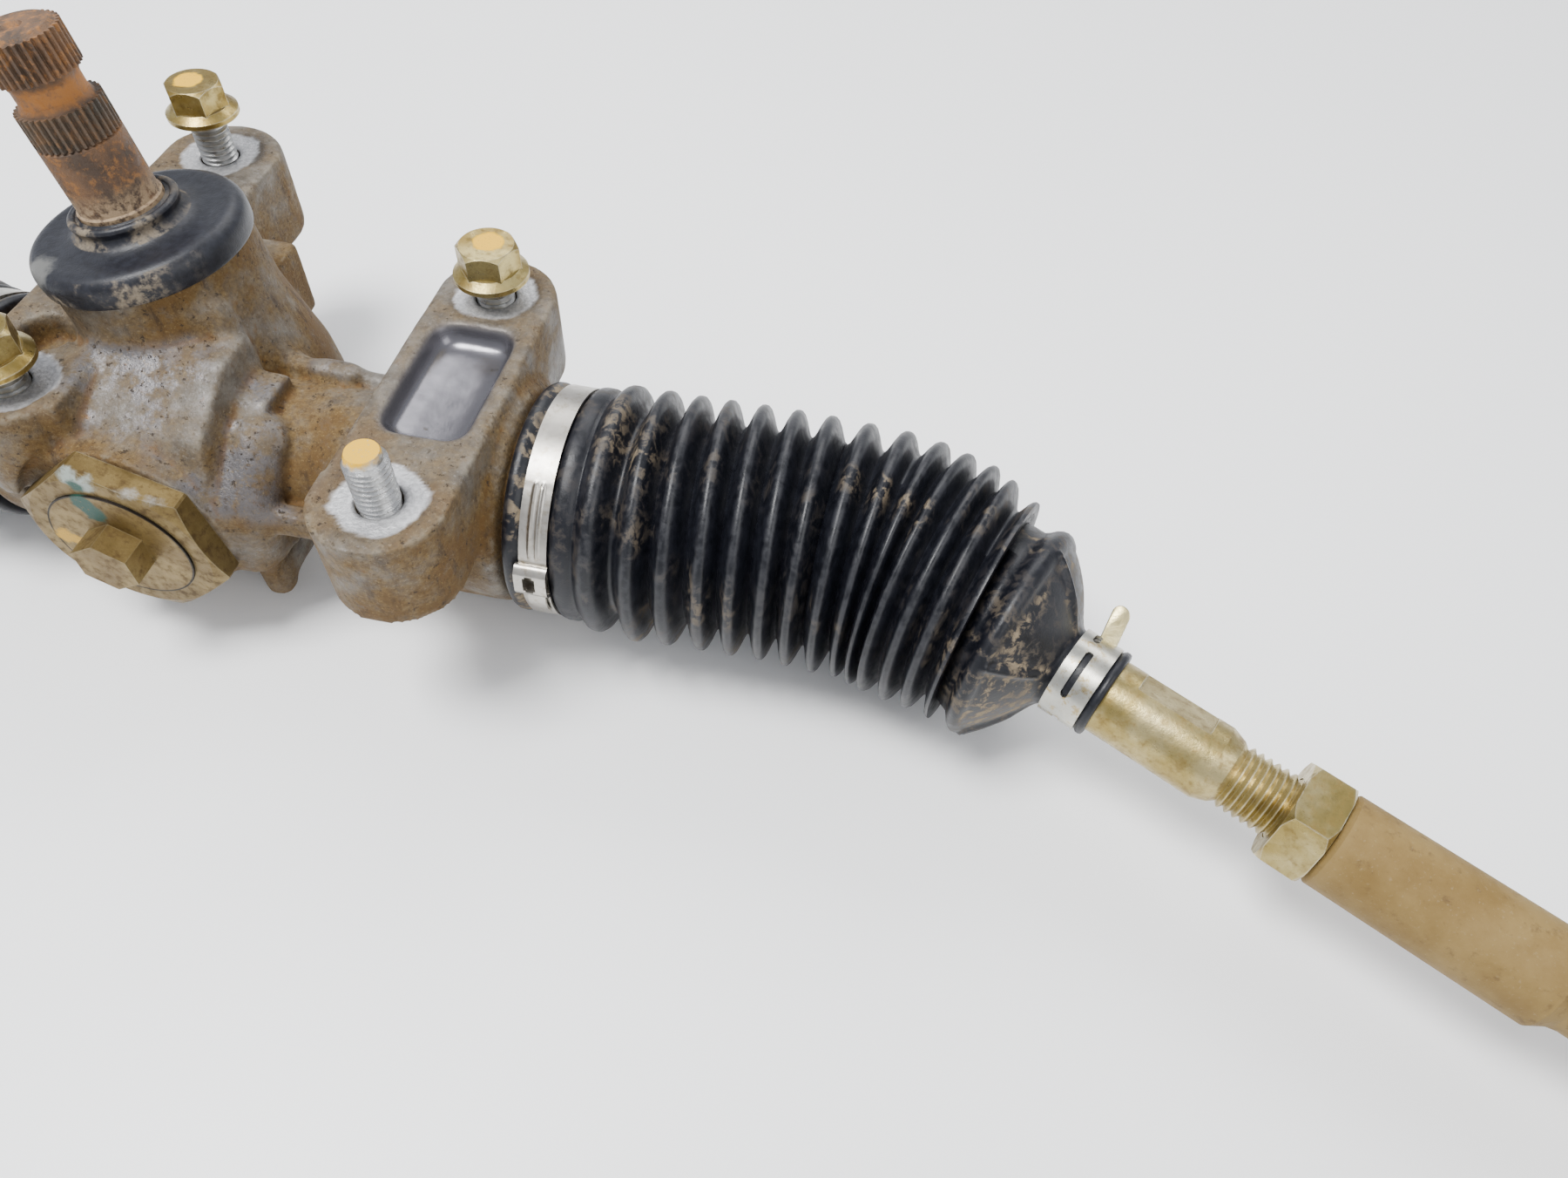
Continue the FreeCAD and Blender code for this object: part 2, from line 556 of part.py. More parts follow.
# ---------------------------------------------------------------------------
# Rack bush in the right end of the casting
# ---------------------------------------------------------------------------
bi_x, bo_x = D["bush_in_x"], D["bush_out_x"]
keep(cut(cyl("Dims.bush_r", "Dims.bush_out_x - Dims.bush_in_x", (bi_x, 0, 0), (1, 0, 0)),
         cyl("Dims.rack_d / 2 + 0.05", 60.0, (bi_x - 10, 0, 0), (1, 0, 0))), "rack_bush")

# ---------------------------------------------------------------------------
# Inner ball joints, tie rods and outer ends, one set per side
# ---------------------------------------------------------------------------


def thread_shape(r_major, pitch, length, r_core=None):
    """Ring-cut thread form: a turned bar with V grooves at the pitch."""
    depth = 0.55 * pitch
    r0 = r_major - depth
    pts = [(0.0, 0.0), (r0, 0.0)]
    n = int(length / pitch)
    s = 0.0
    for k in range(n):
        pts += [(r_major, s + 0.44 * pitch), (r_major, s + 0.56 * pitch), (r0, s + pitch)]
        s += pitch
    if length - s > 1e-6:
        pts += [(r0, length)]
    pts += [(0.0, length)]
    return pts


for side_name, sg in (("right", 1), ("left", -1)):
    bc = V(sg * D["ball_x"], 0, 0)
    d = rod_dir(sg)
    AXD = (d.x, d.y, d.z)

    def on_rod(s, bc=bc, d=d):
        p = bc + d * s
        return (p.x, p.y, p.z)

    # inner ball socket screwed on the rack end
    back, front = D["socket_back"], D["socket_front"]
    axs = (sg, 0, 0)
    socket = revolve([(0, -back), (15.0, -back), (16.2, -back + 1.2), (D["socket_r"], -15.0), (D["socket_r"], 3.0),
                      (15.6, front), (0, front)], (bc.x, 0, 0), axs)
    hole = sphere("Dims.ball_r + Dims.seat_t", (bc.x, 0, 0))
    mouth = cone(9.6, 19.0, 9.0, (bc.x + sg * 3.0, 0, 0), axs)
    stud_hole = cyl(7.0, 11.0, (bc.x - sg * (back + 0.5), 0, 0), axs)
    flats = [box(12.0, 40.0, 10.0, (bc.x - sg * 18.0 - 6.0, -20.0, z0)) for z0 in (15.8, -25.8)]
    keep(cut(socket, [hole, mouth, stud_hole] + flats), "inner_socket_" + side_name)
    # tab washer between the rack end and the socket
    wt = D["washer_t"]
    washer = cut(cyl(15.5, wt, (sg * (end_face - 0.0) - sg * wt, 0, 0), axs),
                 cyl("Dims.rack_d / 2 + 0.02", wt + 2, (sg * (end_face + 1) - sg * (wt + 2), 0, 0), axs))
    keep(washer, "tab_washer_" + side_name)
    # plastic seat: a spherical shell, open where the rod leaves
    seat = cut(sphere("Dims.ball_r + Dims.seat_t - 0.03", (bc.x, 0, 0)),
               [sphere("Dims.ball_r + 0.03", (bc.x, 0, 0)),
                cyl(30.0, 20.0, on_rod(5.2), AXD),
                cyl(30.0, 20.0, on_rod(-8.5), (-d.x, -d.y, -d.z))])
    keep(seat, "ball_seat_" + side_name)
    # inner tie rod: ball, neck, bar, wrench flats, thread
    neck = D["neck_d"] / 2
    rod_r = D["rod_d"] / 2
    ta, tb = D["thread_a"], D["thread_b"]
    bar = revolve([(0, 0), (neck, 0), (neck, 20.0), (rod_r, D["rod_start"] - 12.0), (rod_r, ta - 5.0),
                   (8.2, ta - 1.5), (6.9, ta), (6.9, ta + 0.5), (0, ta + 0.5)], on_rod(0), AXD)
    thread = revolve([(r, s) for r, s in thread_shape(D["thread_d"] / 2, D["thread_pitch"], tb - ta)], on_rod(ta), AXD)
    ballpiece = sphere("Dims.ball_r", on_rod(0))
    rod = fuse([ballpiece, bar, thread])
    fa, fb = D["flat_a"], D["flat_b"]
    up = V(0, 0, 1) - d * d.z
    up.normalize()
    lat = d.cross(up)
    n1 = (up * math.cos(math.radians(28)) + lat * (-sg) * math.sin(math.radians(28)))
    cutters = []
    for s2 in (1, -1):
        b = doc.addObject("Part::Box", uid("Box"))
        b.Length, b.Width, b.Height = fb - fa, 30.0, 8.0
        nn = n1 * s2
        side_v = nn.cross(d)
        rot = FreeCAD.Rotation(FreeCAD.Matrix(d.x, side_v.x, nn.x, 0, d.y, side_v.y, nn.y, 0, d.z, side_v.z, nn.z, 0, 0, 0, 0, 1))
        b.Placement = FreeCAD.Placement(bc + d * fa + nn * (D["flat_af"] / 2) - side_v * 15.0, rot)
        cutters.append(b)
    keep(cut(rod, cutters), "tie_rod_" + side_name)
    # jam nut
    ja, jb = D["nut_a"], D["nut_b"]
    jam = common(prism(hexagon(D["jam_af"]), jb - ja, on_rod(ja), AXD, 12.0),
                 revolve([(0, 0), (12.4, 0), (13.9, 1.3), (13.9, jb - ja - 1.3), (12.4, jb - ja), (0, jb - ja)], on_rod(ja), AXD))
    keep(cut(jam, cyl("Dims.thread_d / 2 + 0.02", 30.0, on_rod(ja - 10), AXD)), "jam_nut_" + side_name)
    # outer rod end: sleeve, shank and ball housing; the stud points up
    es = D["end_s"]
    er = D["end_r_house"]
    oc = bc + d * es
    sa, sb = D["sleeve_a"], D["sleeve_b"]
    sh = D["shank_d"] / 2
    body = fuse([revolve([(0, sa), (10.4, sa), (D["sleeve_d"] / 2, sa + 1.2), (D["sleeve_d"] / 2, sb - 1.0),
                          (sh + 0.6, sb + 2.5), (sh, sb + 5.0), (sh, es), (0, es)], (bc.x, bc.y, bc.z), AXD),
                 revolve([(0, -13.5), (13.5, -13.5), (er, -11.0), (er, 9.0), (14.0, 13.0), (0, 13.0)], (oc.x, oc.y, oc.z))])
    room = [cyl("Dims.thread_d / 2 + 0.02", tb - sa + 4, on_rod(sa - 1), AXD),
            sphere(13.0, (oc.x, oc.y, oc.z)),
            cone(8.6, 16.0, 12.0, (oc.x, oc.y, oc.z + 6.0)),
            cyl(14.4, 6.0, (oc.x, oc.y, oc.z - 17.0))]
    keep(cut(body, room), "rod_end_" + side_name)
    keep(cut(fuse([cyl(14.38, 1.9, (oc.x, oc.y, oc.z - 12.9))]), sphere(13.0, (oc.x, oc.y, oc.z))), "rod_end_plug_" + side_name)
    keep(cut(sphere(12.97, (oc.x, oc.y, oc.z)),
             [sphere(11.03, (oc.x, oc.y, oc.z)), cyl(30, 20, (oc.x, oc.y, oc.z + 5.5)),
              cyl(30, 20, (oc.x, oc.y, oc.z - 30.5))]), "outer_ball_seat_" + side_name)
    # ball stud with its taper, thread and cotter hole
    stud = fuse([sphere(11.0, (oc.x, oc.y, oc.z)),
                 revolve([(0, 0), (6.6, 0), (6.6, 16.0), (7.6, 18.5), (7.6, 22.0), (6.0, 38.0), (5.1, 38.5), (5.1, 39.0), (0, 39.0)],
                         (oc.x, oc.y, oc.z)),
                 revolve(thread_shape(6.0, 1.5, 16.5), (oc.x, oc.y, oc.z + 38.5))])
    keep(cut(stud, cyl(1.4, 30.0, (oc.x - 15.0, oc.y, oc.z + 50.6), (1, 0, 0))), "ball_stud_" + side_name)
    castle = common(prism(hexagon(19.0), 12.0, (oc.x, oc.y, oc.z + 41.0)),
                    revolve([(0, 0), (9.9, 0), (11.0, 1.0), (11.0, 6.6), (8.6, 7.6), (8.6, 12.0), (0, 12.0)],
                            (oc.x, oc.y, oc.z + 41.0)))
    slots = []
    for k in range(3):
        sb_ = doc.addObject("Part::Box", uid("Box"))
        sb_.Length, sb_.Width, sb_.Height = 26.0, 3.0, 6.0
        rot = FreeCAD.Rotation(V(0, 0, 1), 60.0 * k)
        sb_.Placement = FreeCAD.Placement(V(oc.x, oc.y, oc.z + 49.0) + rot.multVec(V(-13.0, -1.5, 0)), rot)
        slots.append(sb_)
    keep(cut(castle, [cyl(6.02, 30.0, (oc.x, oc.y, oc.z + 35.0))] + slots), "castle_nut_" + side_name)
    pin = fuse([cyl(1.25, 21.0, (oc.x - 10.5, oc.y, oc.z + 50.6), (1, 0, 0)),
                cut(torus(2.0, 0.9, (oc.x + 12.0, oc.y, oc.z + 50.6), (0, 0, 1)), cyl(0.2, 0.1, (0, 0, 300)))])
    keep(pin, "cotter_pin_" + side_name)
    # dust cover of the outer joint: a plain hollow dome
    keep(revolve([(7.8, 20.0), (10.2, 20.0), (13.6, 18.4), (17.0, 15.0), (18.7, 12.2), (18.7, 9.5), (17.2, 9.5), (17.2, 11.8),
                  (15.8, 14.4), (12.8, 17.2), (9.8, 18.6), (7.8, 18.6)], (oc.x, oc.y, oc.z)), "stud_boot_" + side_name)

    # bellows: a plain hollow sleeve that follows the rack, then the rod
    lip = D["lip_x"]
    w = D["boot_wall"]
    R = D["boot_r"]
    rs = D["boot_small_r"]
    ss = D["boot_small_s"]
    sp = D["spigot_r"]

    def sleeve(dr, x_from, grow):
        """Outer or inner envelope of the bellows, shrunk by dr."""
        return fuse([cyl(R - dr, abs(sg * bc.x - x_from), (sg * x_from, 0, 0), axs),
                     sphere(R - dr, (bc.x, 0, 0)),
                     cyl(R - dr, 26.0, on_rod(0), AXD),
                     cone(R - dr, rs - min(dr, w - 0.0) + grow, 24.0, on_rod(26.0), AXD)])
    outer_skin = fuse([sleeve(0.0, lip + 17.0, 0.0), cyl(29.0, 17.5, (sg * lip, 0, 0), axs),
                       cyl(rs, ss - 50.0, on_rod(49.9), AXD), cyl(rs + 0.95, 1.8, on_rod(ss - 1.8), AXD)])
    inner_skin = fuse([sleeve(w, lip + 19.0, 0.0), cyl(sp + 0.05, 30.0, (sg * (lip - 1.0), 0, 0), axs),
                       cyl(rod_r + 0.05, 20.0, on_rod(48.0), AXD)])
    keep(cut(outer_skin, inner_skin), "boot_" + side_name)
    # large band clamp over the boot's wide end, with its buckle
    band = cut(fuse([cyl(29.9, 7.0, (sg * (lip + 4.5), 0, 0), axs),
                     box(7.0, 9.0, 3.4, (sg * (lip + 8.0) - 3.5, -29.0, -17.5))]),
               cyl(29.05, 9.0, (sg * (lip + 3.5), 0, 0), axs))
    keep(band, "large_clamp_" + side_name)
    # small spring clamp on the rod end of the boot, with its tab
    small = cut(cyl(rs + 0.85, 9.6, on_rod(50.8), AXD), cyl(rs + 0.05, 12.0, on_rod(49.5), AXD))
    up2 = up
    tab = doc.addObject("Part::Box", uid("Box"))
    tab.Length, tab.Width, tab.Height = 0.9, 4.2, 7.5
    tside = up2.cross(d)
    trot = FreeCAD.Rotation(FreeCAD.Matrix(d.x, tside.x, up2.x, 0, d.y, tside.y, up2.y, 0, d.z, tside.z, up2.z, 0, 0, 0, 0, 1))
    tab.Placement = FreeCAD.Placement(bc + d * 57.6 + up2 * (rs + 0.3) - tside * 2.1, trot)
    keep(fuse([small, tab]), "small_clamp_" + side_name)

# ---------------------------------------------------------------------------
# Four mounting bolts, standing loose in their holes; the near right one is
# put in from below
# ---------------------------------------------------------------------------
bl = D["bolt_len"]
fr = D["flange_r"]
bolt_names = ["bolt_near_right", "bolt_far_right", "bolt_near_left", "bolt_far_left"]
lift = [0.0, 5.8, 5.8, 12.4]
for (hx, hy), name, up_by in zip(holes, bolt_names, lift):
    if name == "bolt_near_right":
        base, ax = (hx, hy, low - 0.4), (0, 0, 1)
        sgnz = 1
    else:
        base, ax = (hx, hy, pad + up_by), (0, 0, -1)
        sgnz = -1
    # base is the underside of the flange; the shank runs along ax from it
    shank = revolve([(0, -1.0), (4.93, -1.0), (4.93, 3.0), (4.1, 3.5), (4.1, 4.0), (0, 4.0)], base, ax)
    thr = revolve(thread_shape(D["bolt_d"] / 2, D["bolt_pitch"], bl - 4.5),
                  (base[0], base[1], base[2] + sgnz * 3.5), ax)
    tip = revolve([(0, 0), (4.1, 0), (3.7, 1.0), (0, 1.0)], (base[0], base[1], base[2] + sgnz * (bl - 1.0)), ax)
    up = (0, 0, -sgnz)
    head = fuse([revolve([(0, 0), (fr, 0), (fr, 1.3), (7.6, 2.9), (0, 2.9)], base, up),
                 common(prism(hexagon(D["bolt_af"]), 9.2, base, up, 10.0),
                        revolve([(0, 0), (8.4, 0), (8.4, 7.8), (6.9, 9.2), (0, 9.2)], base, up))])
    keep(fuse([shank, thr, tip, head]), name)

doc.recompute()

# ---------------------------------------------------------------------------
# Check the whole tree, then write one file per sub-part
# ---------------------------------------------------------------------------
bad = []
for o in doc.Objects:
    if any(s in ("Invalid", "Error") for s in o.State):
        bad.append((o.Name, o.Label, o.State))
for o, label in PARTS:
    sh_ = o.Shape
    if sh_.isNull() or not sh_.isValid() or not sh_.Solids:
        bad.append((o.Name, label, "null or invalid shape"))
if bad:
    raise SystemExit("failed: %s" % bad)
os.makedirs("parts", exist_ok=True)
for o, label in PARTS:
    o.Shape.exportStep("parts/%s.step" % label)
    print("%-28s solids %2d volume %10.1f" % (label, len(o.Shape.Solids), o.Shape.Volume))
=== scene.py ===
import math

import bmesh
import bpy
import numpy as np
from mathutils import Matrix, Vector


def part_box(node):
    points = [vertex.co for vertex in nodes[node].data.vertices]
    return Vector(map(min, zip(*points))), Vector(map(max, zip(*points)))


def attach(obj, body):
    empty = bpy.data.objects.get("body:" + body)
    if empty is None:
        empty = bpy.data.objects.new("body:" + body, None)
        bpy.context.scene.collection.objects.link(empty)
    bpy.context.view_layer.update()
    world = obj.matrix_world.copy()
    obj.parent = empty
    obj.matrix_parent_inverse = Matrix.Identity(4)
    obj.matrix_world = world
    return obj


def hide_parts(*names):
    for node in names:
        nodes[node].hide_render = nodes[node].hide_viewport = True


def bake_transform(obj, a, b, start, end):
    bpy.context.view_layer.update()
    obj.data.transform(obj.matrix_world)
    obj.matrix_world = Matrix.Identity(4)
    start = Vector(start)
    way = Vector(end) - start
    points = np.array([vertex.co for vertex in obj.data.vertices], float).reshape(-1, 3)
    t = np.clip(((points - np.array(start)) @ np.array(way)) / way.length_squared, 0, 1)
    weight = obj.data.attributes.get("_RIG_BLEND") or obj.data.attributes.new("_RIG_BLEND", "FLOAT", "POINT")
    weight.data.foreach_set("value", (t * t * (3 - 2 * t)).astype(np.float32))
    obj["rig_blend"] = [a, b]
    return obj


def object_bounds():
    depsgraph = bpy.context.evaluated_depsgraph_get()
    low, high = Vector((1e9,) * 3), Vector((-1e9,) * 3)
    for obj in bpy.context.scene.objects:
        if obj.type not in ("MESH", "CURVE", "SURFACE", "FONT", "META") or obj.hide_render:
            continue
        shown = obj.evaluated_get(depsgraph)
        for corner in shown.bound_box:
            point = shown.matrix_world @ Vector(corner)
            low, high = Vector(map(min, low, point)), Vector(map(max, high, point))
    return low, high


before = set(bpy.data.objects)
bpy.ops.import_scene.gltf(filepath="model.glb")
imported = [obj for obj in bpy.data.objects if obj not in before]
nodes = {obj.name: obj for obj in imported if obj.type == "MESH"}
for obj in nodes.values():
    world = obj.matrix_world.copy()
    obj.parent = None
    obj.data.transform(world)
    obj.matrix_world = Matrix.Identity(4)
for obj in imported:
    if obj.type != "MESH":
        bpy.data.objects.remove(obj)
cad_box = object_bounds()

MM = 0.001
scene_col = bpy.context.scene.collection


# ---------------------------------------------------------------- shader helpers
def material(name):
    m = bpy.data.materials.new(name)
    m.use_nodes = True
    return m, m.node_tree, m.node_tree.nodes["Principled BSDF"]


def put(nt, sock, val):
    if hasattr(val, "is_output"):
        nt.links.new(val, sock)
    elif isinstance(val, (tuple, list)) and len(val) == 3 and sock.type == "RGBA":
        sock.default_value = (*val, 1)
    else:
        sock.default_value = val


def coords(nt):
    return nt.nodes.new("ShaderNodeTexCoord").outputs["Object"]


def stretch(nt, vec, s):
    n = nt.nodes.new("ShaderNodeVectorMath")
    n.operation = "MULTIPLY"
    put(nt, n.inputs[0], vec)
    n.inputs[1].default_value = s
    return n.outputs[0]


def noise(nt, vec, scale, detail=4.0, rough=0.55, dist=0.0):
    n = nt.nodes.new("ShaderNodeTexNoise")
    put(nt, n.inputs["Vector"], vec)
    n.inputs["Scale"].default_value = scale
    n.inputs["Detail"].default_value = detail
    n.inputs["Roughness"].default_value = rough
    n.inputs["Distortion"].default_value = dist
    return n.outputs["Fac"]


def rng(nt, val, a, b, c=0.0, d=1.0):
    n = nt.nodes.new("ShaderNodeMapRange")
    n.interpolation_type = "SMOOTHSTEP"
    put(nt, n.inputs["Value"], val)
    n.inputs["From Min"].default_value = a
    n.inputs["From Max"].default_value = b
    n.inputs["To Min"].default_value = c
    n.inputs["To Max"].default_value = d
    return n.outputs["Result"]


def calc(nt, op, a, b=0.0, clamp=False):
    n = nt.nodes.new("ShaderNodeMath")
    n.operation = op
    n.use_clamp = clamp
    put(nt, n.inputs[0], a)
    put(nt, n.inputs[1], b)
    return n.outputs[0]


def mix(nt, fac, a, b):
    n = nt.nodes.new("ShaderNodeMix")
    n.data_type = "RGBA"
    put(nt, n.inputs["Factor"], fac)
    put(nt, n.inputs[6], a)
    put(nt, n.inputs[7], b)
    return n.outputs[2]


def mixf(nt, fac, a, b):
    n = nt.nodes.new("ShaderNodeMix")
    n.data_type = "FLOAT"
    put(nt, n.inputs[0], fac)
    put(nt, n.inputs[2], a)
    put(nt, n.inputs[3], b)
    return n.outputs[0]


def tone(nt, col, sat, val):
    n = nt.nodes.new("ShaderNodeHueSaturation")
    n.inputs["Saturation"].default_value = sat
    n.inputs["Value"].default_value = val
    nt.links.new(col, n.inputs["Color"])
    return n.outputs[0]


def attr(nt, name):
    n = nt.nodes.new("ShaderNodeAttribute")
    n.attribute_name = name
    return n.outputs["Fac"]


def axis_of(nt, vec, i):
    n = nt.nodes.new("ShaderNodeSeparateXYZ")
    put(nt, n.inputs[0], vec)
    return n.outputs[i]


def near(nt, vec, centre, r0, r1, wob=0.0, wscale=400.0):
    """1 within r0 of a point in mm, 0 beyond r1, with an uneven edge."""
    n = nt.nodes.new("ShaderNodeVectorMath")
    n.operation = "DISTANCE"
    put(nt, n.inputs[0], vec)
    n.inputs[1].default_value = tuple(c * MM for c in centre)
    d = n.outputs["Value"]
    if wob:
        w = noise(nt, vec, wscale, 4.0, 0.6)
        d = calc(nt, "ADD", d, calc(nt, "MULTIPLY", calc(nt, "SUBTRACT", w, 0.5), wob * 2 * MM))
    return rng(nt, d, r0 * MM, r1 * MM, 1.0, 0.0)


def bump(nt, bsdf, height, dist=0.0002, strength=0.6):
    n = nt.nodes.new("ShaderNodeBump")
    n.inputs["Strength"].default_value = strength
    n.inputs["Distance"].default_value = dist
    put(nt, n.inputs["Height"], height)
    nt.links.new(n.outputs[0], bsdf.inputs["Normal"])


def edge_mask(nt, radius=0.0006, lo=0.02, hi=0.25):
    """1 at worn outside and inside edges."""
    b = nt.nodes.new("ShaderNodeBevel")
    b.samples = 4
    b.inputs["Radius"].default_value = radius
    g = nt.nodes.new("ShaderNodeNewGeometry")
    d = nt.nodes.new("ShaderNodeVectorMath")
    d.operation = "DOT_PRODUCT"
    nt.links.new(b.outputs[0], d.inputs[0])
    nt.links.new(g.outputs["Normal"], d.inputs[1])
    return rng(nt, calc(nt, "SUBTRACT", 1.0, d.outputs["Value"]), lo, hi)


# ---------------------------------------------------------------- materials
def mat_cast():
    m, nt, b = material("CastingDirt")
    v = coords(nt)
    n1 = noise(nt, v, 45, 6, 0.62)
    n2 = noise(nt, v, 210, 6, 0.66)
    n3 = noise(nt, v, 900, 4, 0.65)
    speck = noise(nt, v, 1500, 3, 0.7)
    streak = noise(nt, stretch(nt, v, (1.0, 1.0, 0.28)), 260, 5, 0.65)
    grey = mix(nt, rng(nt, n2, 0.35, 0.65), (0.150, 0.130, 0.105), (0.300, 0.275, 0.235))
    violet = mix(nt, rng(nt, n2, 0.3, 0.6), (0.145, 0.138, 0.138), (0.270, 0.258, 0.262))
    tan = mix(nt, rng(nt, n3, 0.30, 0.72), (0.165, 0.102, 0.042), (0.340, 0.232, 0.108))
    tan = mix(nt, rng(nt, n1, 0.48, 0.66), tan, (0.205, 0.118, 0.045))
    tan = mix(nt, rng(nt, streak, 0.52, 0.72), tan, (0.092, 0.052, 0.021))
    rust = mix(nt, rng(nt, n2, 0.35, 0.68), (0.150, 0.068, 0.022), (0.265, 0.138, 0.048))
    clean = attr(nt, "clean")
    bright = attr(nt, "bright")
    crease = attr(nt, "crease")
    edge = attr(nt, "edge")
    flat = attr(nt, "flatgrey")
    # dust cover, broken by noise
    dust = calc(nt, "ADD", rng(nt, n1, 0.30, 0.58), calc(nt, "MULTIPLY", crease, 0.5), True)
    dust = calc(nt, "MULTIPLY", dust, calc(nt, "SUBTRACT", 1.0, calc(nt, "MULTIPLY", clean, 0.9)), True)
    dust = calc(nt, "MULTIPLY", dust, rng(nt, n2, 0.26, 0.50, 0.55, 1.0))
    c = mix(nt, dust, grey, tan)
    fl = calc(nt, "MULTIPLY", flat, rng(nt, calc(nt, "ADD", calc(nt, "MULTIPLY", n2, 0.6), calc(nt, "MULTIPLY", n1, 0.4)), 0.42, 0.54))
    c = mix(nt, fl, c, violet)
    c = mix(nt, calc(nt, "MULTIPLY", rng(nt, calc(nt, "ADD", crease, calc(nt, "MULTIPLY", n2, 1.1)), 0.85, 1.35), 0.60), c, rust)
    c = mix(nt, calc(nt, "MULTIPLY", rng(nt, n2, 0.60, 0.74), calc(nt, "SUBTRACT", 0.7, clean), True), c, rust)
    c = mix(nt, calc(nt, "MULTIPLY", edge, rng(nt, n2, 0.48, 0.66, 0.0, 0.55)), c, (0.43, 0.38, 0.29))
    br = calc(nt, "MULTIPLY", bright, 1.0)
    c = mix(nt, br, c, mix(nt, rng(nt, n3, 0.35, 0.65), (0.50, 0.50, 0.51), (0.72, 0.72, 0.73)))
    gloss = attr(nt, "gloss")
    c = mix(nt, calc(nt, "MULTIPLY", gloss, rng(nt, n2, 0.22, 0.36)), c, mix(nt, n1, (0.235, 0.228, 0.250), (0.420, 0.412, 0.445)))
    pits = calc(nt, "MULTIPLY", rng(nt, noise(nt, v, 620, 5, 0.72), 0.60, 0.67), calc(nt, "SUBTRACT", 1.0, calc(nt, "MAXIMUM", br, gloss)), True)
    pits = calc(nt, "MULTIPLY", pits, rng(nt, n1, 0.30, 0.50))
    c = mix(nt, calc(nt, "MULTIPLY", pits, 0.85), c, (0.048, 0.030, 0.016))
    salt = calc(nt, "MULTIPLY", rng(nt, noise(nt, v, 1150, 5, 0.75), 0.56, 0.64), calc(nt, "SUBTRACT", 1.0, calc(nt, "MAXIMUM", br, gloss)), True)
    c = mix(nt, calc(nt, "MULTIPLY", salt, 0.42), c, mix(nt, dust, (0.46, 0.45, 0.45), (0.50, 0.36, 0.18)))
    dk = rng(nt, noise(nt, v, 430, 6, 0.7), 0.56, 0.68)
    c = mix(nt, calc(nt, "MULTIPLY", calc(nt, "MULTIPLY", dk, 0.55), calc(nt, "SUBTRACT", 1.0, calc(nt, "MAXIMUM", br, gloss)), True), c, (0.100, 0.058, 0.024))
    # painted shade: the casting turns darker brown towards the bottom
    low_side_shade = calc(nt, "MULTIPLY", rng(nt, axis_of(nt, v, 2), 0.026, -0.012), 0.35)
    c = mix(nt, calc(nt, "MULTIPLY", low_side_shade, rng(nt, n1, 0.3, 0.6)), c, (0.110, 0.064, 0.027))
    nt.links.new(mix(nt, br, tone(nt, c, 1.16, 0.47), tone(nt, c, 0.9, 0.80)), b.inputs["Base Color"])
    metal = calc(nt, "MAXIMUM", calc(nt, "MULTIPLY", calc(nt, "MAXIMUM", fl, calc(nt, "MULTIPLY", clean, 0.8)), 0.55), calc(nt, "MULTIPLY", br, 0.75))
    metal = mixf(nt, gloss, metal, 0.8)
    nt.links.new(metal, b.inputs["Metallic"])
    r = mixf(nt, dust, 0.46, 0.86)
    r = mixf(nt, fl, r, 0.42)
    r = mixf(nt, br, r, 0.45)
    r = mixf(nt, gloss, r, 0.27)
    nt.links.new(r, b.inputs["Roughness"])
    h = calc(nt, "ADD", calc(nt, "MULTIPLY", n3, 0.5), calc(nt, "MULTIPLY", n2, 0.9))
    h = calc(nt, "SUBTRACT", h, calc(nt, "MULTIPLY", pits, 0.5))
    h = calc(nt, "MULTIPLY", h, calc(nt, "SUBTRACT", 1.0, calc(nt, "MULTIPLY", gloss, 0.88)))
    bump(nt, b, h, 0.00045, 0.8)
    return m


def mat_rubber(name="BellowsRubber", dusty=1.0):
    m, nt, b = material(name)
    v = coords(nt)
    n1 = noise(nt, v, 60, 5, 0.6)
    n2 = noise(nt, v, 330, 5, 0.65, 0.4)
    n3 = noise(nt, v, 1600, 3, 0.6)
    tip = attr(nt, "tip")
    c = mix(nt, rng(nt, n2, 0.3, 0.7), (0.0045, 0.0050, 0.0075), (0.0110, 0.0120, 0.0175))
    # painted highlight: mottled pale grey on the fold crests (tip near 1), standing in for the light band along them
    grey = calc(nt, "MULTIPLY", calc(nt, "MULTIPLY", rng(nt, tip, 0.80, 1.0), rng(nt, n2, 0.38, 0.62)), 0.26)
    c = mix(nt, grey, c, (0.085, 0.085, 0.088))
    dust = calc(nt, "MULTIPLY", attr(nt, "dirt"), rng(nt, n2, 0.47, 0.60))
    dust = calc(nt, "MULTIPLY", dust, rng(nt, n1, 0.34, 0.60))
    dust = calc(nt, "MULTIPLY", dust, dusty)
    c = mix(nt, dust, c, mix(nt, n3, (0.20, 0.150, 0.095), (0.40, 0.33, 0.235)))
    nt.links.new(tone(nt, c, 1.15, 0.72), b.inputs["Base Color"])
    r = mixf(nt, dust, mixf(nt, rng(nt, n2, 0.3, 0.7), 0.33, 0.50), 0.85)
    nt.links.new(r, b.inputs["Roughness"])
    b.inputs["Specular IOR Level"].default_value = 0.36
    bump(nt, b, calc(nt, "ADD", n3, calc(nt, "MULTIPLY", n2, 1.5)), 0.00008, 0.5)
    return m


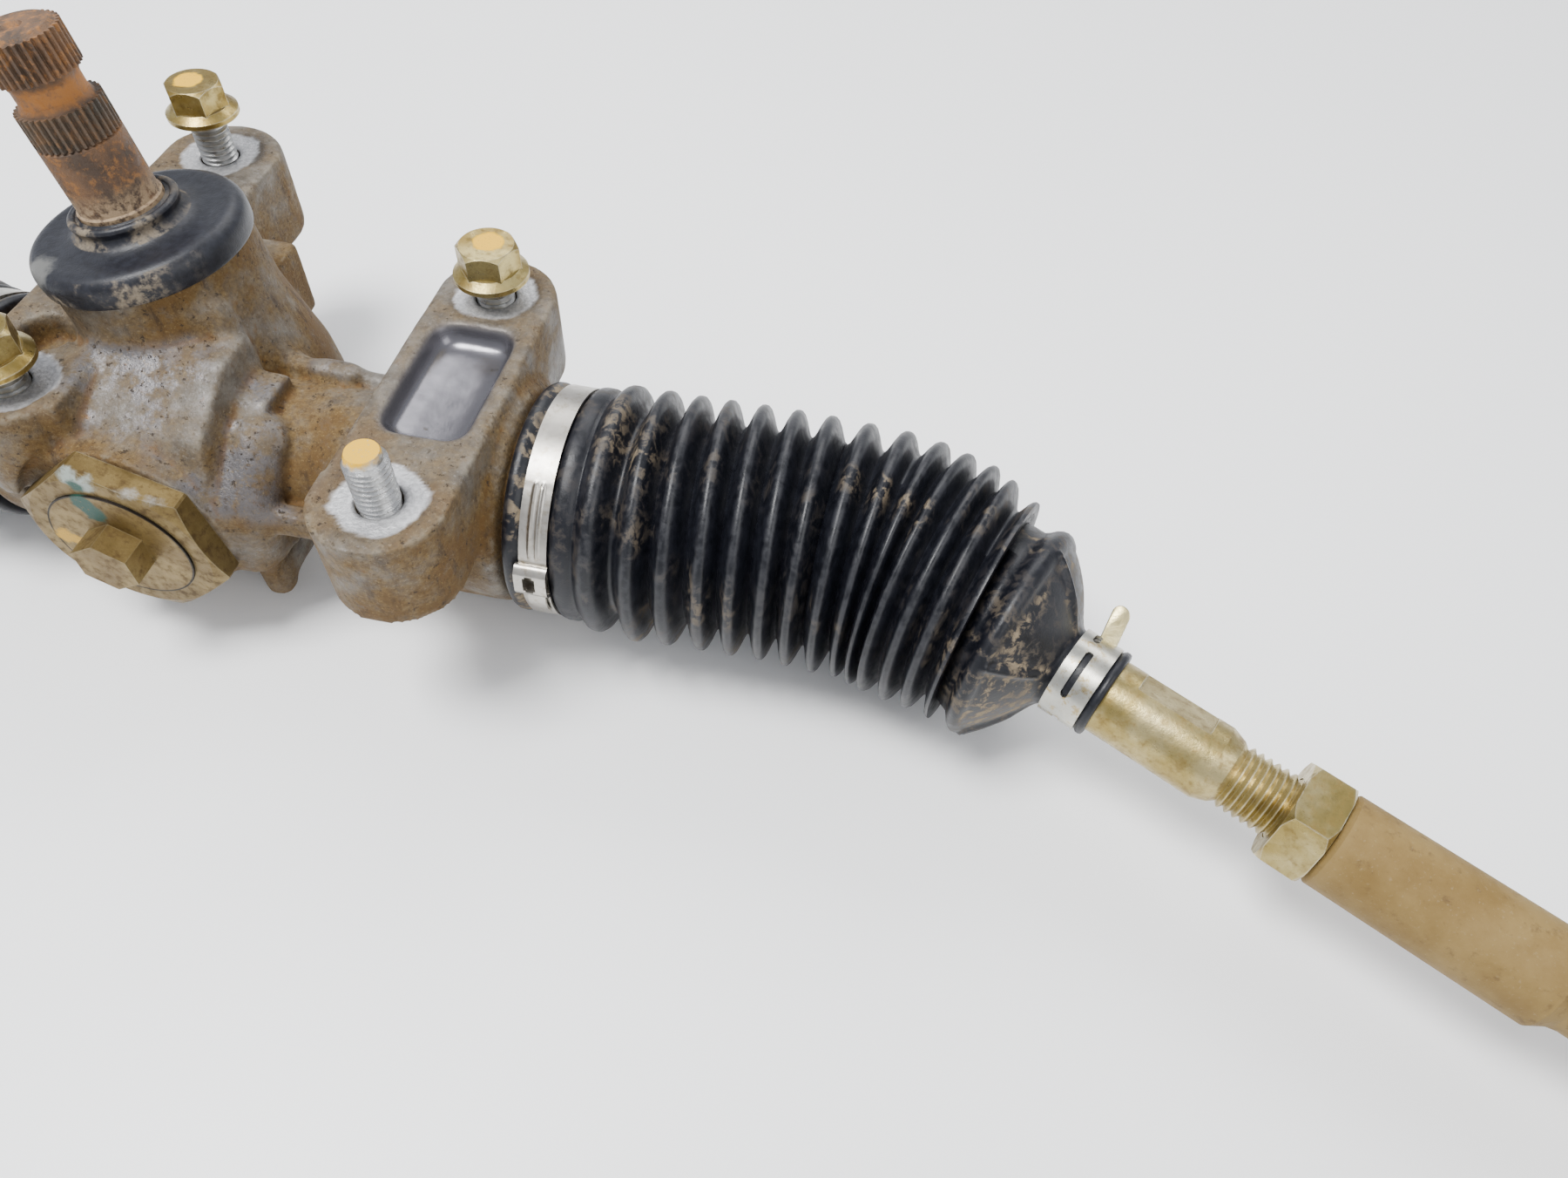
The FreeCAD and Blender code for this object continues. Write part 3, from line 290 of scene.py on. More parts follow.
def mat_zinc(name, base=(0.36, 0.29, 0.145), high=(0.66, 0.58, 0.38), dark=(0.15, 0.095, 0.040), rough=0.36, marks=(), dirt=0.5, metal=0.85, edges=True,
             edge_col=(0.78, 0.74, 0.56), painted_gap_shade=False, silver_below=None):
    m, nt, b = material(name)
    v = coords(nt)
    n1 = noise(nt, v, 70, 5, 0.6)
    n2 = noise(nt, v, 380, 5, 0.65)
    n3 = noise(nt, v, 1700, 3, 0.6)
    c = mix(nt, rng(nt, n1, 0.35, 0.65), base, high)
    c = mix(nt, calc(nt, "MULTIPLY", rng(nt, n2, 0.46, 0.70), dirt), c, dark)
    if edges:
        e = calc(nt, "MULTIPLY", edge_mask(nt), rng(nt, n2, 0.30, 0.55, 0.3, 0.9))
        c = mix(nt, e, c, edge_col)
    c = mix(nt, calc(nt, "MULTIPLY", rng(nt, n3, 0.62, 0.72), 0.5), c, dark)
    if silver_below is not None:
        k = rng(nt, axis_of(nt, v, 2), (silver_below + 0.3) * MM, (silver_below - 0.3) * MM)
        c = mix(nt, k, c, mix(nt, n2, (0.30, 0.30, 0.29), (0.66, 0.66, 0.65)))
    if painted_gap_shade:
        # painted shade: the dark line where the plug meets its nut
        px = nt.nodes.new("ShaderNodeVectorMath")
        px.operation = "LENGTH"
        off = nt.nodes.new("ShaderNodeVectorMath")
        off.operation = "MULTIPLY_ADD"
        put(nt, off.inputs[0], v)
        off.inputs[1].default_value = (1.0, 0.0, 1.0)
        off.inputs[2].default_value = (24.0 * MM, 0.0, 0.0)
        nt.links.new(off.outputs[0], px.inputs[0])
        k = rng(nt, px.outputs["Value"], 0.01690, 0.01722)
        c = mix(nt, k, c, (0.020, 0.013, 0.007))
    mt = metal
    rr = mixf(nt, rng(nt, n2, 0.35, 0.7), rough, rough + 0.2)
    for centre, r0, r1, wob, colour in marks:
        k = near(nt, v, centre, r0, r1, wob, 420)
        k = calc(nt, "MULTIPLY", k, rng(nt, n3, 0.25, 0.42))
        c = mix(nt, k, c, colour)
        mt = mixf(nt, k, mt, 0.0)
        rr = mixf(nt, k, rr, 0.55)
    nt.links.new(tone(nt, c, 1.06, 0.52 if metal < 0.8 else 0.80), b.inputs["Base Color"])
    put(nt, b.inputs["Metallic"], mt)
    nt.links.new(rr, b.inputs["Roughness"])
    bump(nt, b, calc(nt, "ADD", n3, calc(nt, "MULTIPLY", n2, 1.5)), 0.00008, 0.5)
    return m


def mat_shaft(base, axis):
    """Splined input shaft: brown, with bright rust in the waist and dust low down."""
    m, nt, b = material("ShaftRust")
    v = coords(nt)
    d = nt.nodes.new("ShaderNodeVectorMath")
    d.operation = "SUBTRACT"
    put(nt, d.inputs[0], v)
    d.inputs[1].default_value = tuple(base)
    e = nt.nodes.new("ShaderNodeVectorMath")
    e.operation = "DOT_PRODUCT"
    nt.links.new(d.outputs[0], e.inputs[0])
    e.inputs[1].default_value = tuple(axis)
    s = e.outputs["Value"]
    n1 = noise(nt, v, 130, 6, 0.65)
    n2 = noise(nt, v, 520, 6, 0.7)
    n3 = noise(nt, v, 1900, 3, 0.6)
    c = mix(nt, rng(nt, n1, 0.34, 0.62), (0.060, 0.038, 0.024), (0.155, 0.082, 0.040))
    c = mix(nt, rng(nt, n2, 0.50, 0.66), c, (0.270, 0.125, 0.042))
    c = mix(nt, calc(nt, "MULTIPLY", rng(nt, n2, 0.34, 0.22), 0.8), c, (0.105, 0.105, 0.100))
    waist = calc(nt, "MULTIPLY", rng(nt, s, 0.0828, 0.0850), rng(nt, s, 0.0895, 0.0872))
    c = mix(nt, calc(nt, "MULTIPLY", waist, rng(nt, n2, 0.30, 0.56, 0.25, 1.0)), c, (0.330, 0.135, 0.032))
    low = calc(nt, "MULTIPLY", rng(nt, s, 0.0750, 0.0760), rng(nt, s, 0.0836, 0.0826))
    c = mix(nt, calc(nt, "MULTIPLY", low, 0.5), c, (0.050, 0.050, 0.040))
    dust = calc(nt, "MULTIPLY", rng(nt, s, 0.0668, 0.0600), rng(nt, n2, 0.36, 0.56))
    c = mix(nt, dust, c, (0.330, 0.235, 0.140))
    nt.links.new(tone(nt, c, 1.0, 0.98), b.inputs["Base Color"])
    b.inputs["Metallic"].default_value = 0.30
    nt.links.new(mixf(nt, rng(nt, n2, 0.3, 0.7), 0.48, 0.80), b.inputs["Roughness"])
    bump(nt, b, calc(nt, "ADD", n3, calc(nt, "MULTIPLY", n2, 2.0)), 0.00020, 0.8)
    return m


def mat_cap():
    m, nt, b = material("CapRubber")
    v = coords(nt)
    n1 = noise(nt, v, 110, 5, 0.65)
    n2 = noise(nt, v, 520, 5, 0.68)
    n3 = noise(nt, v, 1900, 3, 0.6)
    tip = attr(nt, "dirt")
    c = mix(nt, rng(nt, n2, 0.3, 0.7), (0.0075, 0.0080, 0.0120), (0.0200, 0.0215, 0.0290))
    d = calc(nt, "MULTIPLY", tip, rng(nt, n1, 0.42, 0.58))
    d = calc(nt, "MULTIPLY", d, rng(nt, n2, 0.36, 0.56))
    c = mix(nt, d, c, mix(nt, n3, (0.17, 0.135, 0.095), (0.38, 0.32, 0.24)))
    # painted highlight: a grey patch on the front left of the rim
    painted_rim_highlight = near(nt, v, (-45.5, -2.5, 50.5), 3.0, 6.5, 3.0, 380)
    c = mix(nt, calc(nt, "MULTIPLY", painted_rim_highlight, 0.8), c, (0.19, 0.19, 0.18))
    nt.links.new(tone(nt, c, 1.1, 0.72), b.inputs["Base Color"])
    nt.links.new(mixf(nt, d, 0.42, 0.85), b.inputs["Roughness"])
    b.inputs["Specular IOR Level"].default_value = 0.36
    bump(nt, b, calc(nt, "ADD", n3, calc(nt, "MULTIPLY", n2, 1.4)), 0.00010, 0.5)
    return m


def mat_steel(name, a, c2, rough=0.3, metal=1.0, stain=(0.30, 0.24, 0.15), amount=0.3, lines=None):
    m, nt, b = material(name)
    v = coords(nt)
    n1 = noise(nt, v, 90, 5, 0.6)
    n2 = noise(nt, v, 600, 5, 0.65)
    if lines:
        n2 = noise(nt, stretch(nt, v, lines), 900, 3, 0.6)
    c = mix(nt, rng(nt, n1, 0.32, 0.68), a, c2)
    sp = noise(nt, v, 420, 5, 0.7)
    k = calc(nt, "MULTIPLY", rng(nt, sp, 0.52, 0.66), amount)
    c = mix(nt, k, c, stain)
    nt.links.new(tone(nt, c, 1.15, 0.80), b.inputs["Base Color"])
    b.inputs["Metallic"].default_value = metal
    nt.links.new(mixf(nt, n2, rough - 0.06, rough + 0.16), b.inputs["Roughness"])
    bump(nt, b, n2, 0.00004, 0.4)
    return m


def mat_dusty(name="RodEndDust"):
    m, nt, b = material(name)
    v = coords(nt)
    n1 = noise(nt, v, 55, 6, 0.6)
    n2 = noise(nt, v, 330, 6, 0.68)
    n3 = noise(nt, v, 1500, 3, 0.6)
    c = mix(nt, rng(nt, n1, 0.32, 0.66), (0.240, 0.165, 0.078), (0.350, 0.258, 0.135))
    c = mix(nt, calc(nt, "MULTIPLY", rng(nt, n2, 0.55, 0.72), 0.6), c, (0.120, 0.078, 0.045))
    c = mix(nt, calc(nt, "MULTIPLY", rng(nt, n3, 0.60, 0.72), 0.4), c, (0.42, 0.34, 0.22))
    nt.links.new(tone(nt, c, 1.30, 0.66), b.inputs["Base Color"])
    b.inputs["Metallic"].default_value = 0.1
    nt.links.new(mixf(nt, n2, 0.62, 0.85), b.inputs["Roughness"])
    bump(nt, b, calc(nt, "ADD", n3, calc(nt, "MULTIPLY", n2, 1.5)), 0.00012, 0.6)
    return m


def mat_plastic(name, a, c2):
    m, nt, b = material(name)
    v = coords(nt)
    n1 = noise(nt, v, 200, 4, 0.6)
    nt.links.new(mix(nt, n1, a, c2), b.inputs["Base Color"])
    nt.links.new(rng(nt, n1, 0.2, 0.8, 0.35, 0.6), b.inputs["Roughness"])
    bump(nt, b, n1, 0.00003, 0.3)
    return m


YELLOW = (0.90, 0.50, 0.0)
TEAL = (0.0, 0.085, 0.055)
PALE = (0.50, 0.56, 0.50)
CAST = mat_cast()
RUBBER = mat_rubber()
CAP = mat_cap()
NUT = mat_zinc("NutZinc", base=(0.235, 0.158, 0.055), high=(0.400, 0.290, 0.120), dark=(0.110, 0.062, 0.020), rough=0.42, dirt=0.8, metal=0.65, edge_col=(0.46, 0.40, 0.26),
               marks=(((-27.8, -39.0, 22.6), 1.5, 3.4, 2.4, PALE), ((-24.2, -39.0, 20.9), 1.2, 3.2, 2.4, PALE),
                      ((-27.0, -39.0, 20.0), 0.8, 2.6, 2.0, TEAL), ((-8.5, -39.0, 20.0), 1.0, 4.0, 3.0, (0.50, 0.48, 0.42)), ((-14.0, -39.0, 21.0), 0.6, 3.4, 3.0, (0.50, 0.48, 0.42))))
# the plug carries a painted shade line where it meets its nut
PLUG = mat_zinc("PlugZinc", base=(0.255, 0.170, 0.060), high=(0.420, 0.305, 0.125), dark=(0.120, 0.066, 0.022), rough=0.42, dirt=0.75, metal=0.65, edge_col=(0.44, 0.36, 0.20), painted_gap_shade=True,
                marks=(((-27.2, -39.6, 14.6), 2.2, 3.4, 1.6, TEAL), ((-25.6, -39.6, 11.4), 2.2, 3.4, 1.6, TEAL), ((-28.4, -39.6, 3.9), 1.0, 1.7, 0.6, TEAL),
                       ((-38.8, -39.6, 0.0), 1.6, 3.4, 2.4, YELLOW), ((-35.6, -39.6, -1.2), 1.2, 3.0, 2.2, YELLOW)))
ROD = mat_zinc("RodZinc", base=(0.370, 0.285, 0.105), high=(0.600, 0.505, 0.265), dark=(0.215, 0.138, 0.045), rough=0.27, dirt=0.6, metal=0.88)
STAINLESS = mat_steel("BandStainless", (0.46, 0.44, 0.40), (0.66, 0.63, 0.58), 0.30, 1.0, amount=0.45)
SPRINGZINC = mat_steel("ClampZinc", (0.50, 0.50, 0.46), (0.72, 0.70, 0.62), 0.26, 1.0, (0.42, 0.31, 0.13), 0.75)
TABGOLD = mat_zinc("TabGold", base=(0.50, 0.42, 0.20), high=(0.70, 0.62, 0.36), dark=(0.33, 0.25, 0.10), rough=0.28, dirt=0.4, metal=0.9)
DUSTY = mat_dusty()
BEARING = mat_steel("BearingSteel", (0.50, 0.50, 0.50), (0.62, 0.62, 0.62), 0.22, 1.0, amount=0.1)
GROUND = mat_steel("GroundSteel", (0.42, 0.42, 0.42), (0.56, 0.56, 0.55), 0.25, 1.0, amount=0.2)
DARK = mat_steel("DarkSteel", (0.10, 0.10, 0.10), (0.18, 0.17, 0.16), 0.40, 0.9, amount=0.3)
SPRING = mat_steel("SpringSteel", (0.20, 0.20, 0.21), (0.30, 0.30, 0.31), 0.35, 1.0, amount=0.1)
GUIDE = mat_plastic("GuidePlastic", (0.55, 0.53, 0.46), (0.68, 0.66, 0.58))
SEAL = mat_plastic("SealRubber", (0.010, 0.010, 0.012), (0.022, 0.022, 0.026))
STUD = mat_steel("StudSteel", (0.36, 0.34, 0.30), (0.52, 0.49, 0.42), 0.34, 1.0, (0.25, 0.15, 0.07), 0.5)

BOLTS = {
    "bolt_far_left": (-66.3, 97.5, 50.0), "bolt_far_right": (47.6, 38.6, 50.0),
    "bolt_near_left": (-49.0, -21.5, 50.0), "bolt_near_right": (49.0, -36.5, 47.5),
}


def dress(name, mat):
    o = nodes[name]
    if not o.material_slots:
        o.data.materials.append(mat)
        return
    for i in range(len(o.material_slots)):
        o.material_slots[i].material = mat


def top_point(name):
    lo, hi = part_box(name)
    return ((lo[0] + hi[0]) / 2 / MM, (lo[1] + hi[1]) / 2 / MM, lo[2] / MM, hi[2] / MM)


for n in BOLTS:
    cx, cy, z0, z1 = top_point(n)
    if n == "bolt_near_right":
        mk = [((cx - 0.5, cy + 0.3, z1 - 0.3), 3.9, 4.9, 0.9, YELLOW)]
        mt = mat_zinc("Bolt_" + n, base=(0.40, 0.40, 0.39), high=(0.68, 0.68, 0.67), dark=(0.15, 0.14, 0.12), rough=0.22, dirt=0.45, metal=1.0, marks=mk, edges=False)
    else:
        off = {"bolt_far_left": (-1.2, 0.4), "bolt_far_right": (0.2, 0.9), "bolt_near_left": (0.6, 0.3)}[n]
        mk = [((cx + off[0], cy + off[1], z1), 3.3, 4.4, 1.4, YELLOW)]
        mt = mat_zinc("Bolt_" + n, base=(0.330, 0.235, 0.075), high=(0.620, 0.510, 0.235), dark=(0.150, 0.090, 0.028), rough=0.27, dirt=0.6, marks=mk,
                      metal=0.92, silver_below=z1 - 11.0)
    dress(n, mt)

pin_base = Vector((-22.8, 17.95, 0.0)) * MM
pin_axis = Vector((-math.sin(math.radians(9.0)), 0.0, math.cos(math.radians(9.0))))
dress("pinion_shaft", mat_shaft(pin_base, pin_axis))
for n in ("pinion_bearing_outer_race", "pinion_bearing_inner_race", "pinion_bearing_balls", "retaining_ring", "pinion_lower_bush"):
    dress(n, BEARING)
for n in ("pinion_oil_seal", "guide_o_ring"):
    dress(n, SEAL)
dress("rack_bar", GROUND)
dress("rack_guide", GUIDE)
dress("rack_bush", GUIDE)
dress("guide_spring", SPRING)
dress("adjuster_plug", PLUG)
dress("adjuster_lock_nut", NUT)
dress("housing", CAST)
dress("pinion_dust_cap", CAP)
for s in ("right", "left"):
    dress("inner_socket_" + s, DARK)
    dress("tab_washer_" + s, DARK)
    dress("ball_seat_" + s, GUIDE)
    dress("outer_ball_seat_" + s, GUIDE)
    dress("tie_rod_" + s, ROD)
    dress("jam_nut_" + s, ROD)
    dress("rod_end_" + s, DUSTY)
    dress("rod_end_plug_" + s, DUSTY)
    dress("ball_stud_" + s, STUD)
    dress("castle_nut_" + s, ROD)
    dress("cotter_pin_" + s, STUD)
    dress("large_clamp_" + s, STAINLESS)
    dress("small_clamp_" + s, SPRINGZINC)
    dress("stud_boot_" + s, RUBBER)
    dress("boot_" + s, RUBBER)


# ---------------------------------------------------------------- mesh helpers
def put_attr(me, name, values):
    a = me.attributes.get(name) or me.attributes.new(name, "FLOAT", "POINT")
    a.data.foreach_set("value", np.asarray(values, np.float32))


def mesh_object(name, verts, faces, mat, angle=50.0):
    me = bpy.data.meshes.new(name)
    me.from_pydata([tuple(v) for v in verts], [], faces)
    me.materials.append(mat)
    me.update()
    bm = bmesh.new()
    bm.from_mesh(me)
    bmesh.ops.recalc_face_normals(bm, faces=bm.faces)
    bm.to_mesh(me)
    bm.free()
    me.polygons.foreach_set("use_smooth", np.ones(len(me.polygons), bool))
    me.set_sharp_from_angle(angle=math.radians(angle))
    o = bpy.data.objects.new(name, me)
    scene_col.objects.link(o)
    return o


def loft(loops, close=False, caps=True):
    """Quads between equal loops of points; close joins the last loop to the first."""
    n = len(loops[0])
    verts = np.concatenate(loops)
    faces = []
    m = len(loops)
    for i in range(m if close else m - 1):
        a, b = i * n, ((i + 1) % m) * n
        for j in range(n):
            k = (j + 1) % n
            faces.append((a + j, a + k, b + k, b + j))
    return verts, faces


def fbm(p, scale, seed=0):
    """Cheap smooth noise from a few random waves, -1..1."""
    r = np.random.RandomState(seed)
    out = np.zeros(len(p))
    amp, total = 1.0, 0.0
    for o in range(4):
        for k in range(5):
            d = r.normal(size=3)
            d /= np.linalg.norm(d)
            out += amp * np.sin((p @ d) * scale * (1.7 ** o) * (0.8 + 0.5 * r.rand()) + 6.283 * r.rand())
        total += amp * 2.2
        amp *= 0.6
    return np.clip(out / total, -1, 1)


# ---------------------------------------------------------------- bellows
RIDGES = [(91.2, 1.0, -0.5, 32.2), (100.6, 0.6, 1.7, 32.6), (108.7, 1.0, 1.8, 32.4), (116.9, 1.3, 3.3, 32.4),
          (125.0, 1.5, 2.1, 32.5), (133.2, 1.8, 0.9, 32.4), (141.0, 1.6, -1.4, 32.5), (149.5, 1.1, -4.6, 32.6),
          (157.5, -0.1, -8.7, 32.5), (164.1, -1.7, -14.3, 32.7), (169.3, -3.5, -18.1, 32.7), (175.6, -5.4, -18.9, 32.4),
          (180.7, -7.6, -18.6, 31.3), (187.0, -11.3, -20.0, 29.7)]
SEG = 224


def ring(c, yaw, pitch, r, th, sg):
    """A loop of radius r (number or per-angle array) round centre c, facing along yaw."""
    y, e = math.radians(yaw), math.radians(pitch)
    d = np.array([sg * math.cos(e) * math.cos(y), math.cos(e) * math.sin(y), math.sin(e)])
    lat = np.cross([0, 0, 1.0], d)
    lat /= np.linalg.norm(lat)
    up = np.cross(d, lat)
    return (np.array(c)[None] + (np.cos(th) * r)[:, None] * up[None] + (np.sin(th) * r)[:, None] * lat[None]) * MM


def make_bellows(side):
    sg = 1.0 if side == "right" else -1.0
    k = 1.0 if side == "right" else math.tan(math.radians(16)) / math.tan(math.radians(27))
    turn = -27.0 if side == "right" else 16.0
    flip = 1.0 if side == "right" else -1.0
    th = np.linspace(0, 2 * math.pi, SEG, endpoint=False)
    us = np.arange(1, 15)
    X = np.array([r[0] for r in RIDGES])
    Y = np.array([r[1] for r in RIDGES]) - 1.0 * (np.array([r[0] for r in RIDGES]) < 150)
    W = np.array([r[2] for r in RIDGES])
    R = np.array([r[3] for r in RIDGES])
    y0, e0 = math.radians(turn), math.radians(-2.0)
    d0 = np.array([sg * math.cos(e0) * math.cos(y0), math.cos(e0) * math.sin(y0), math.sin(e0)])
    bc = np.array([sg * 162.0, 0, 0])

    def spine(u):
        x, y, w, r = (np.interp(u, us, q) for q in (X, Y, W, R))
        z = -0.035 * max(0.0, x - 162.0)
        return (sg * x, flip * y * k, z), flip * w * k, -2.0 * min(1.0, max(0.0, (x - 150) / 35.0)), r

    # outer profile as (centre, yaw, pitch, radius, tip, dirt, weight station, key)
    rows = []

    def add(c, yaw, pitch, r, tip, u):
        rows.append((c, yaw, pitch, r, tip, u))

    straight = [(70.05, 27.4), (70.0, 28.6), (70.4, 29.4), (71.2, 29.85), (72.2, 29.9), (73.1, 29.6), (73.7, 29.1), (74.2, 28.85),
                (81.7, 28.85), (82.2, 29.7), (82.8, 30.25), (83.6, 30.45), (85.6, 30.4), (86.6, 30.0), (87.3, 29.4)]
    for x, r in straight:
        add((sg * x, 0, 0), 0, 0, r, 0.25, (x - 70) / 42.0)
    # after the straight cuff u runs 0.55 .. 14.5 over the folds
    PER = 12
    for i in range(int(0.62 * PER), int(14.5 * PER) + 1):
        u = i / PER
        if u < 1:
            c, yaw, pitch, Rr = spine(1.0)
            x = 87.9 + (91.2 - 87.9) * (u - 0.62) / 0.38
            c = (sg * x, 0, 0)
            yaw = 0
        else:
            c, yaw, pitch, Rr = spine(u)
        f = 1.0 - ((1 - math.cos(2 * math.pi * (u - round(u)))) / 2) ** 1.5
        depth = 6.4 if u < 11.5 else 5.2
        if 9.0 < u < 12.6:
            depth = 5.0
        if u < 1:
            depth = 3.0
        add(c, yaw, pitch, Rr - depth * (1 - f), f, u)
    rim_c = bc + d0 * 36.0
    # bell: rounded fold, then a slightly convex face down to the neck
    last_c, last_yaw, last_pitch, last_r = spine(14.0)
    bell = [(31.9, 24.9, -21.5), (32.7, 25.0, -22.2), (33.5, 25.9, -22.9), (34.3, 27.0, -23.4), (35.2, 27.75, -23.8), (36.1, 28.0, -24.2), (37.0, 27.75, -24.6), (37.6, 27.2, -24.9), (38.1, 26.6, -25.1),
            (38.4, 26.1, -25.3), (38.6, 25.5, -25.4), (39.2, 24.9, -25.6), (40.2, 23.9, -26.0), (41.4, 22.6, -26.3), (42.8, 21.0, -26.6), (44.2, 19.2, -27.0), (45.6, 17.2, -27), (46.8, 15.3, -27),
            (47.8, 13.6, -27), (48.6, 12.3, -27), (49.3, 11.3, -27), (49.9, 10.7, -27), (50.5, 10.42, -27), (51.5, 10.4, -27), (56.0, 10.4, -27), (60.2, 10.4, -27),
            (60.7, 10.9, -27), (61.2, 11.3, -27), (61.9, 11.35, -27), (62.5, 11.1, -27), (62.75, 10.5, -27), (62.75, 9.9, -27)]
    for s, r, yw in bell:
        t = min(1.0, max(0.0, (s - 31.0) / 8.0))
        # the centre eases from the folds' line onto the rod's line
        on = bc + d0 * s
        if side == "right":
            off = np.array([-1.2, 1.3, 0.3]) * (1 - t) ** 1.5
        else:
            off = np.array([1.2, -0.9, 0.3]) * (1 - t) ** 1.5
        add(tuple(on + off), yw if side == "right" else -yw * 16.0 / 27.0, -2.0, r, 0.5 if s < 38 else 0.2, 14.5 + (s - 31.0) / 4.0)
    fins = np.radians(FIN_ANGLES) * sg

    outer, inner, tips, uu = [], [], [], []
    for c, yaw, pitch, r, tip, u in rows:
        rr = np.full(SEG, float(r))
        if u > 14.5:
            s = 31.0 + (u - 14.5) * 4.0
            hgt = 2.1 * max(0.0, min(1.0, (s - 37.0) / 1.8)) * max(0.0, min(1.0, (50.6 - s) / 4.0))
            for a in fins:
                dth = (th - a + math.pi) % (2 * math.pi) - math.pi
                width = 0.95 / max(r, 5.0)
                rr = rr + hgt * np.exp(-((dth / width) ** 2))
        outer.append(ring(c, yaw, pitch, rr, th, sg))
        ri = max(r - 1.6, 9.55)
        if abs(c[0]) < 83:
            ri = 25.05
        elif abs(c[0]) < 90 and u < 1:
            ri = 26.6
        if u >= 1 and u <= 14.5:
            f = ((1 + math.cos(2 * math.pi * (u - round(u)))) / 2) ** 2.2
            ri = r - 1.5 - 1.0 * f
        inner.append(ring(c, yaw, pitch, np.full(SEG, float(min(ri, r - 0.5))), th, sg))
        tips.append(tip)
        uu.append(u)
    uu = np.array(uu)
    tips = np.array(tips)
    cut1 = int(np.argmin(np.abs(uu - 7.5)))
    cut2 = int(np.argmin(np.abs(uu - 14.5)))
    parts = []
    body = ("housing_group", "rack", "ball_seat_%s_body" % side, "tie_rod_%s_body" % side)
    for q, (a, b) in enumerate(((0, cut1), (cut1, cut2), (cut2, len(rows) - 1))):
        idx = list(range(a, b + 1))
        loops = [outer[i] for i in idx] + [inner[i] for i in reversed(idx)]
        verts, faces = loft(loops, close=True)
        name = "bellows_%s_%s" % (side, ("folds", "bend", "bell")[q])
        o = mesh_object(name, verts, faces, RUBBER, 80)
        me = o.data
        u_v = np.concatenate([np.full(SEG, uu[i]) for i in idx] + [np.full(SEG, uu[i]) for i in reversed(idx)])
        t_v = np.concatenate([np.full(SEG, tips[i]) for i in idx] + [np.zeros(SEG) for i in idx])
        co = np.array([v.co for v in me.vertices])
        # tip is 1 on the fold crests; the rubber shader paints its grey crest highlight and some dust there
        put_attr(me, "tip", t_v)
        p = co / MM
        low = np.clip((-p[:, 2] - 6.0) / 22.0, 0, 1)
        near_side = np.clip((-p[:, 1] + 4.0) / 30.0, 0, 1)
        patch = np.clip(fbm(co, 90, 3 + q) * 1.6 + 0.35, 0, 1)
        flank = np.clip(1.0 - np.abs(t_v - 0.45) * 1.6, 0, 1)
        dirt = patch * (0.12 + 1.25 * low * (0.5 + 0.5 * near_side)) * (0.40 + 0.80 * flank)
        dirt += np.clip(fbm(co, 260, 9) - 0.25, 0, 1) * 1.1 * t_v * (0.5 + 0.5 * (q == 1))
        if q == 0:
            dirt += (u_v < 2.6) * (u_v > 0.8) * np.clip(fbm(co, 150, 17) * 1.4 + 0.25, 0, 1) * 0.45
        if q == 2:
            s_b = 31.0 + (u_v - 14.5) * 4.0
            a_v = np.tile(th, len(idx) * 2) * sg
            panel = np.exp(-(((a_v + math.radians(94) + math.pi) % (2 * math.pi) - math.pi) / math.radians(26)) ** 2)
            border = np.exp(-((s_b - 40.2) / 1.1) ** 2) * 0.85
            for fa in np.radians(FIN_ANGLES):
                da = ((a_v - fa + math.pi) % (2 * math.pi) - math.pi) * 20
                border = np.maximum(border, np.exp(-((np.abs(da) - 2.6) / 0.9) ** 2) * 0.7)
            dirt = (panel * 1.7 * (s_b > 38) + border * np.clip(fbm(co, 170, 5) * 1.5 + 0.6, 0, 1) + 0.10) * (s_b < 49.5)
            dirt += np.clip(fbm(co, 120, 12) * 1.6 + 0.1, 0, 1) * 0.6 * (s_b < 49.5)
        if q == 0:
            lipz = (np.abs(p[:, 0]) > 71.6) & (np.abs(p[:, 0]) < 74.3)
            dirt[lipz] = 0.9 * np.clip(fbm(co[lipz], 130, 8) * 1.5 + 0.7, 0, 1)
        put_attr(me, "dirt", np.clip(dirt, 0, 1))
        st = Vector(tuple(verts[0]))
        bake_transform(o, body[q], body[q + 1], start=tuple(np.mean(outer[a], 0)), end=tuple(np.mean(outer[b], 0)))
        x = np.abs(p[:, 0])
        if q == 0:
            xa = np.abs(np.array([np.mean(outer[i][:, 0]) for i in idx + list(reversed(idx))])) / MM
            w = np.clip((np.repeat(xa, SEG) - 84.5) / (142.5 - 84.5), 0, 1)
        elif q == 1:
            w = np.clip((u_v - 7.6) / (14.3 - 7.6), 0, 1)
            w = w * w * (3 - 2 * w)
        else:
            s_v = 31.0 + (u_v - 14.5) * 4.0
            w = np.clip((s_v - 32.5) / (50.0 - 32.5), 0, 1)
            w = w * w * (3 - 2 * w)
        put_attr(me, "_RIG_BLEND", w)
        if q == 0:
            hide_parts("boot_" + side)
        parts.append(o)
    return parts


FIN_ANGLES = (15, -58, -130, 87, 159)
for s in ("right", "left"):
    make_bellows(s)


# ---------------------------------------------------------------- casting
# rounded swells of the casting: ends in mm and the radius at each end
BLOBS = [((-4.5, 13.0, 18.6), (3.5, 13.0, 18.6), 3.6, 3.6), ((9.0, 13.0, 18.6), (17.0, 13.0, 18.6), 3.6, 3.6),
         ((-6.0, 3.0, 21.0), (-8.0, 6.0, 41.0), 4.0, 3.0),
         ((4.0, -12.0, 15.0), (1.5, -22.0, 4.0), 8.5, 9.5), ((1.0, -23.0, 2.0), (-1.0, -24.0, -12.0), 8.5, 7.0)]


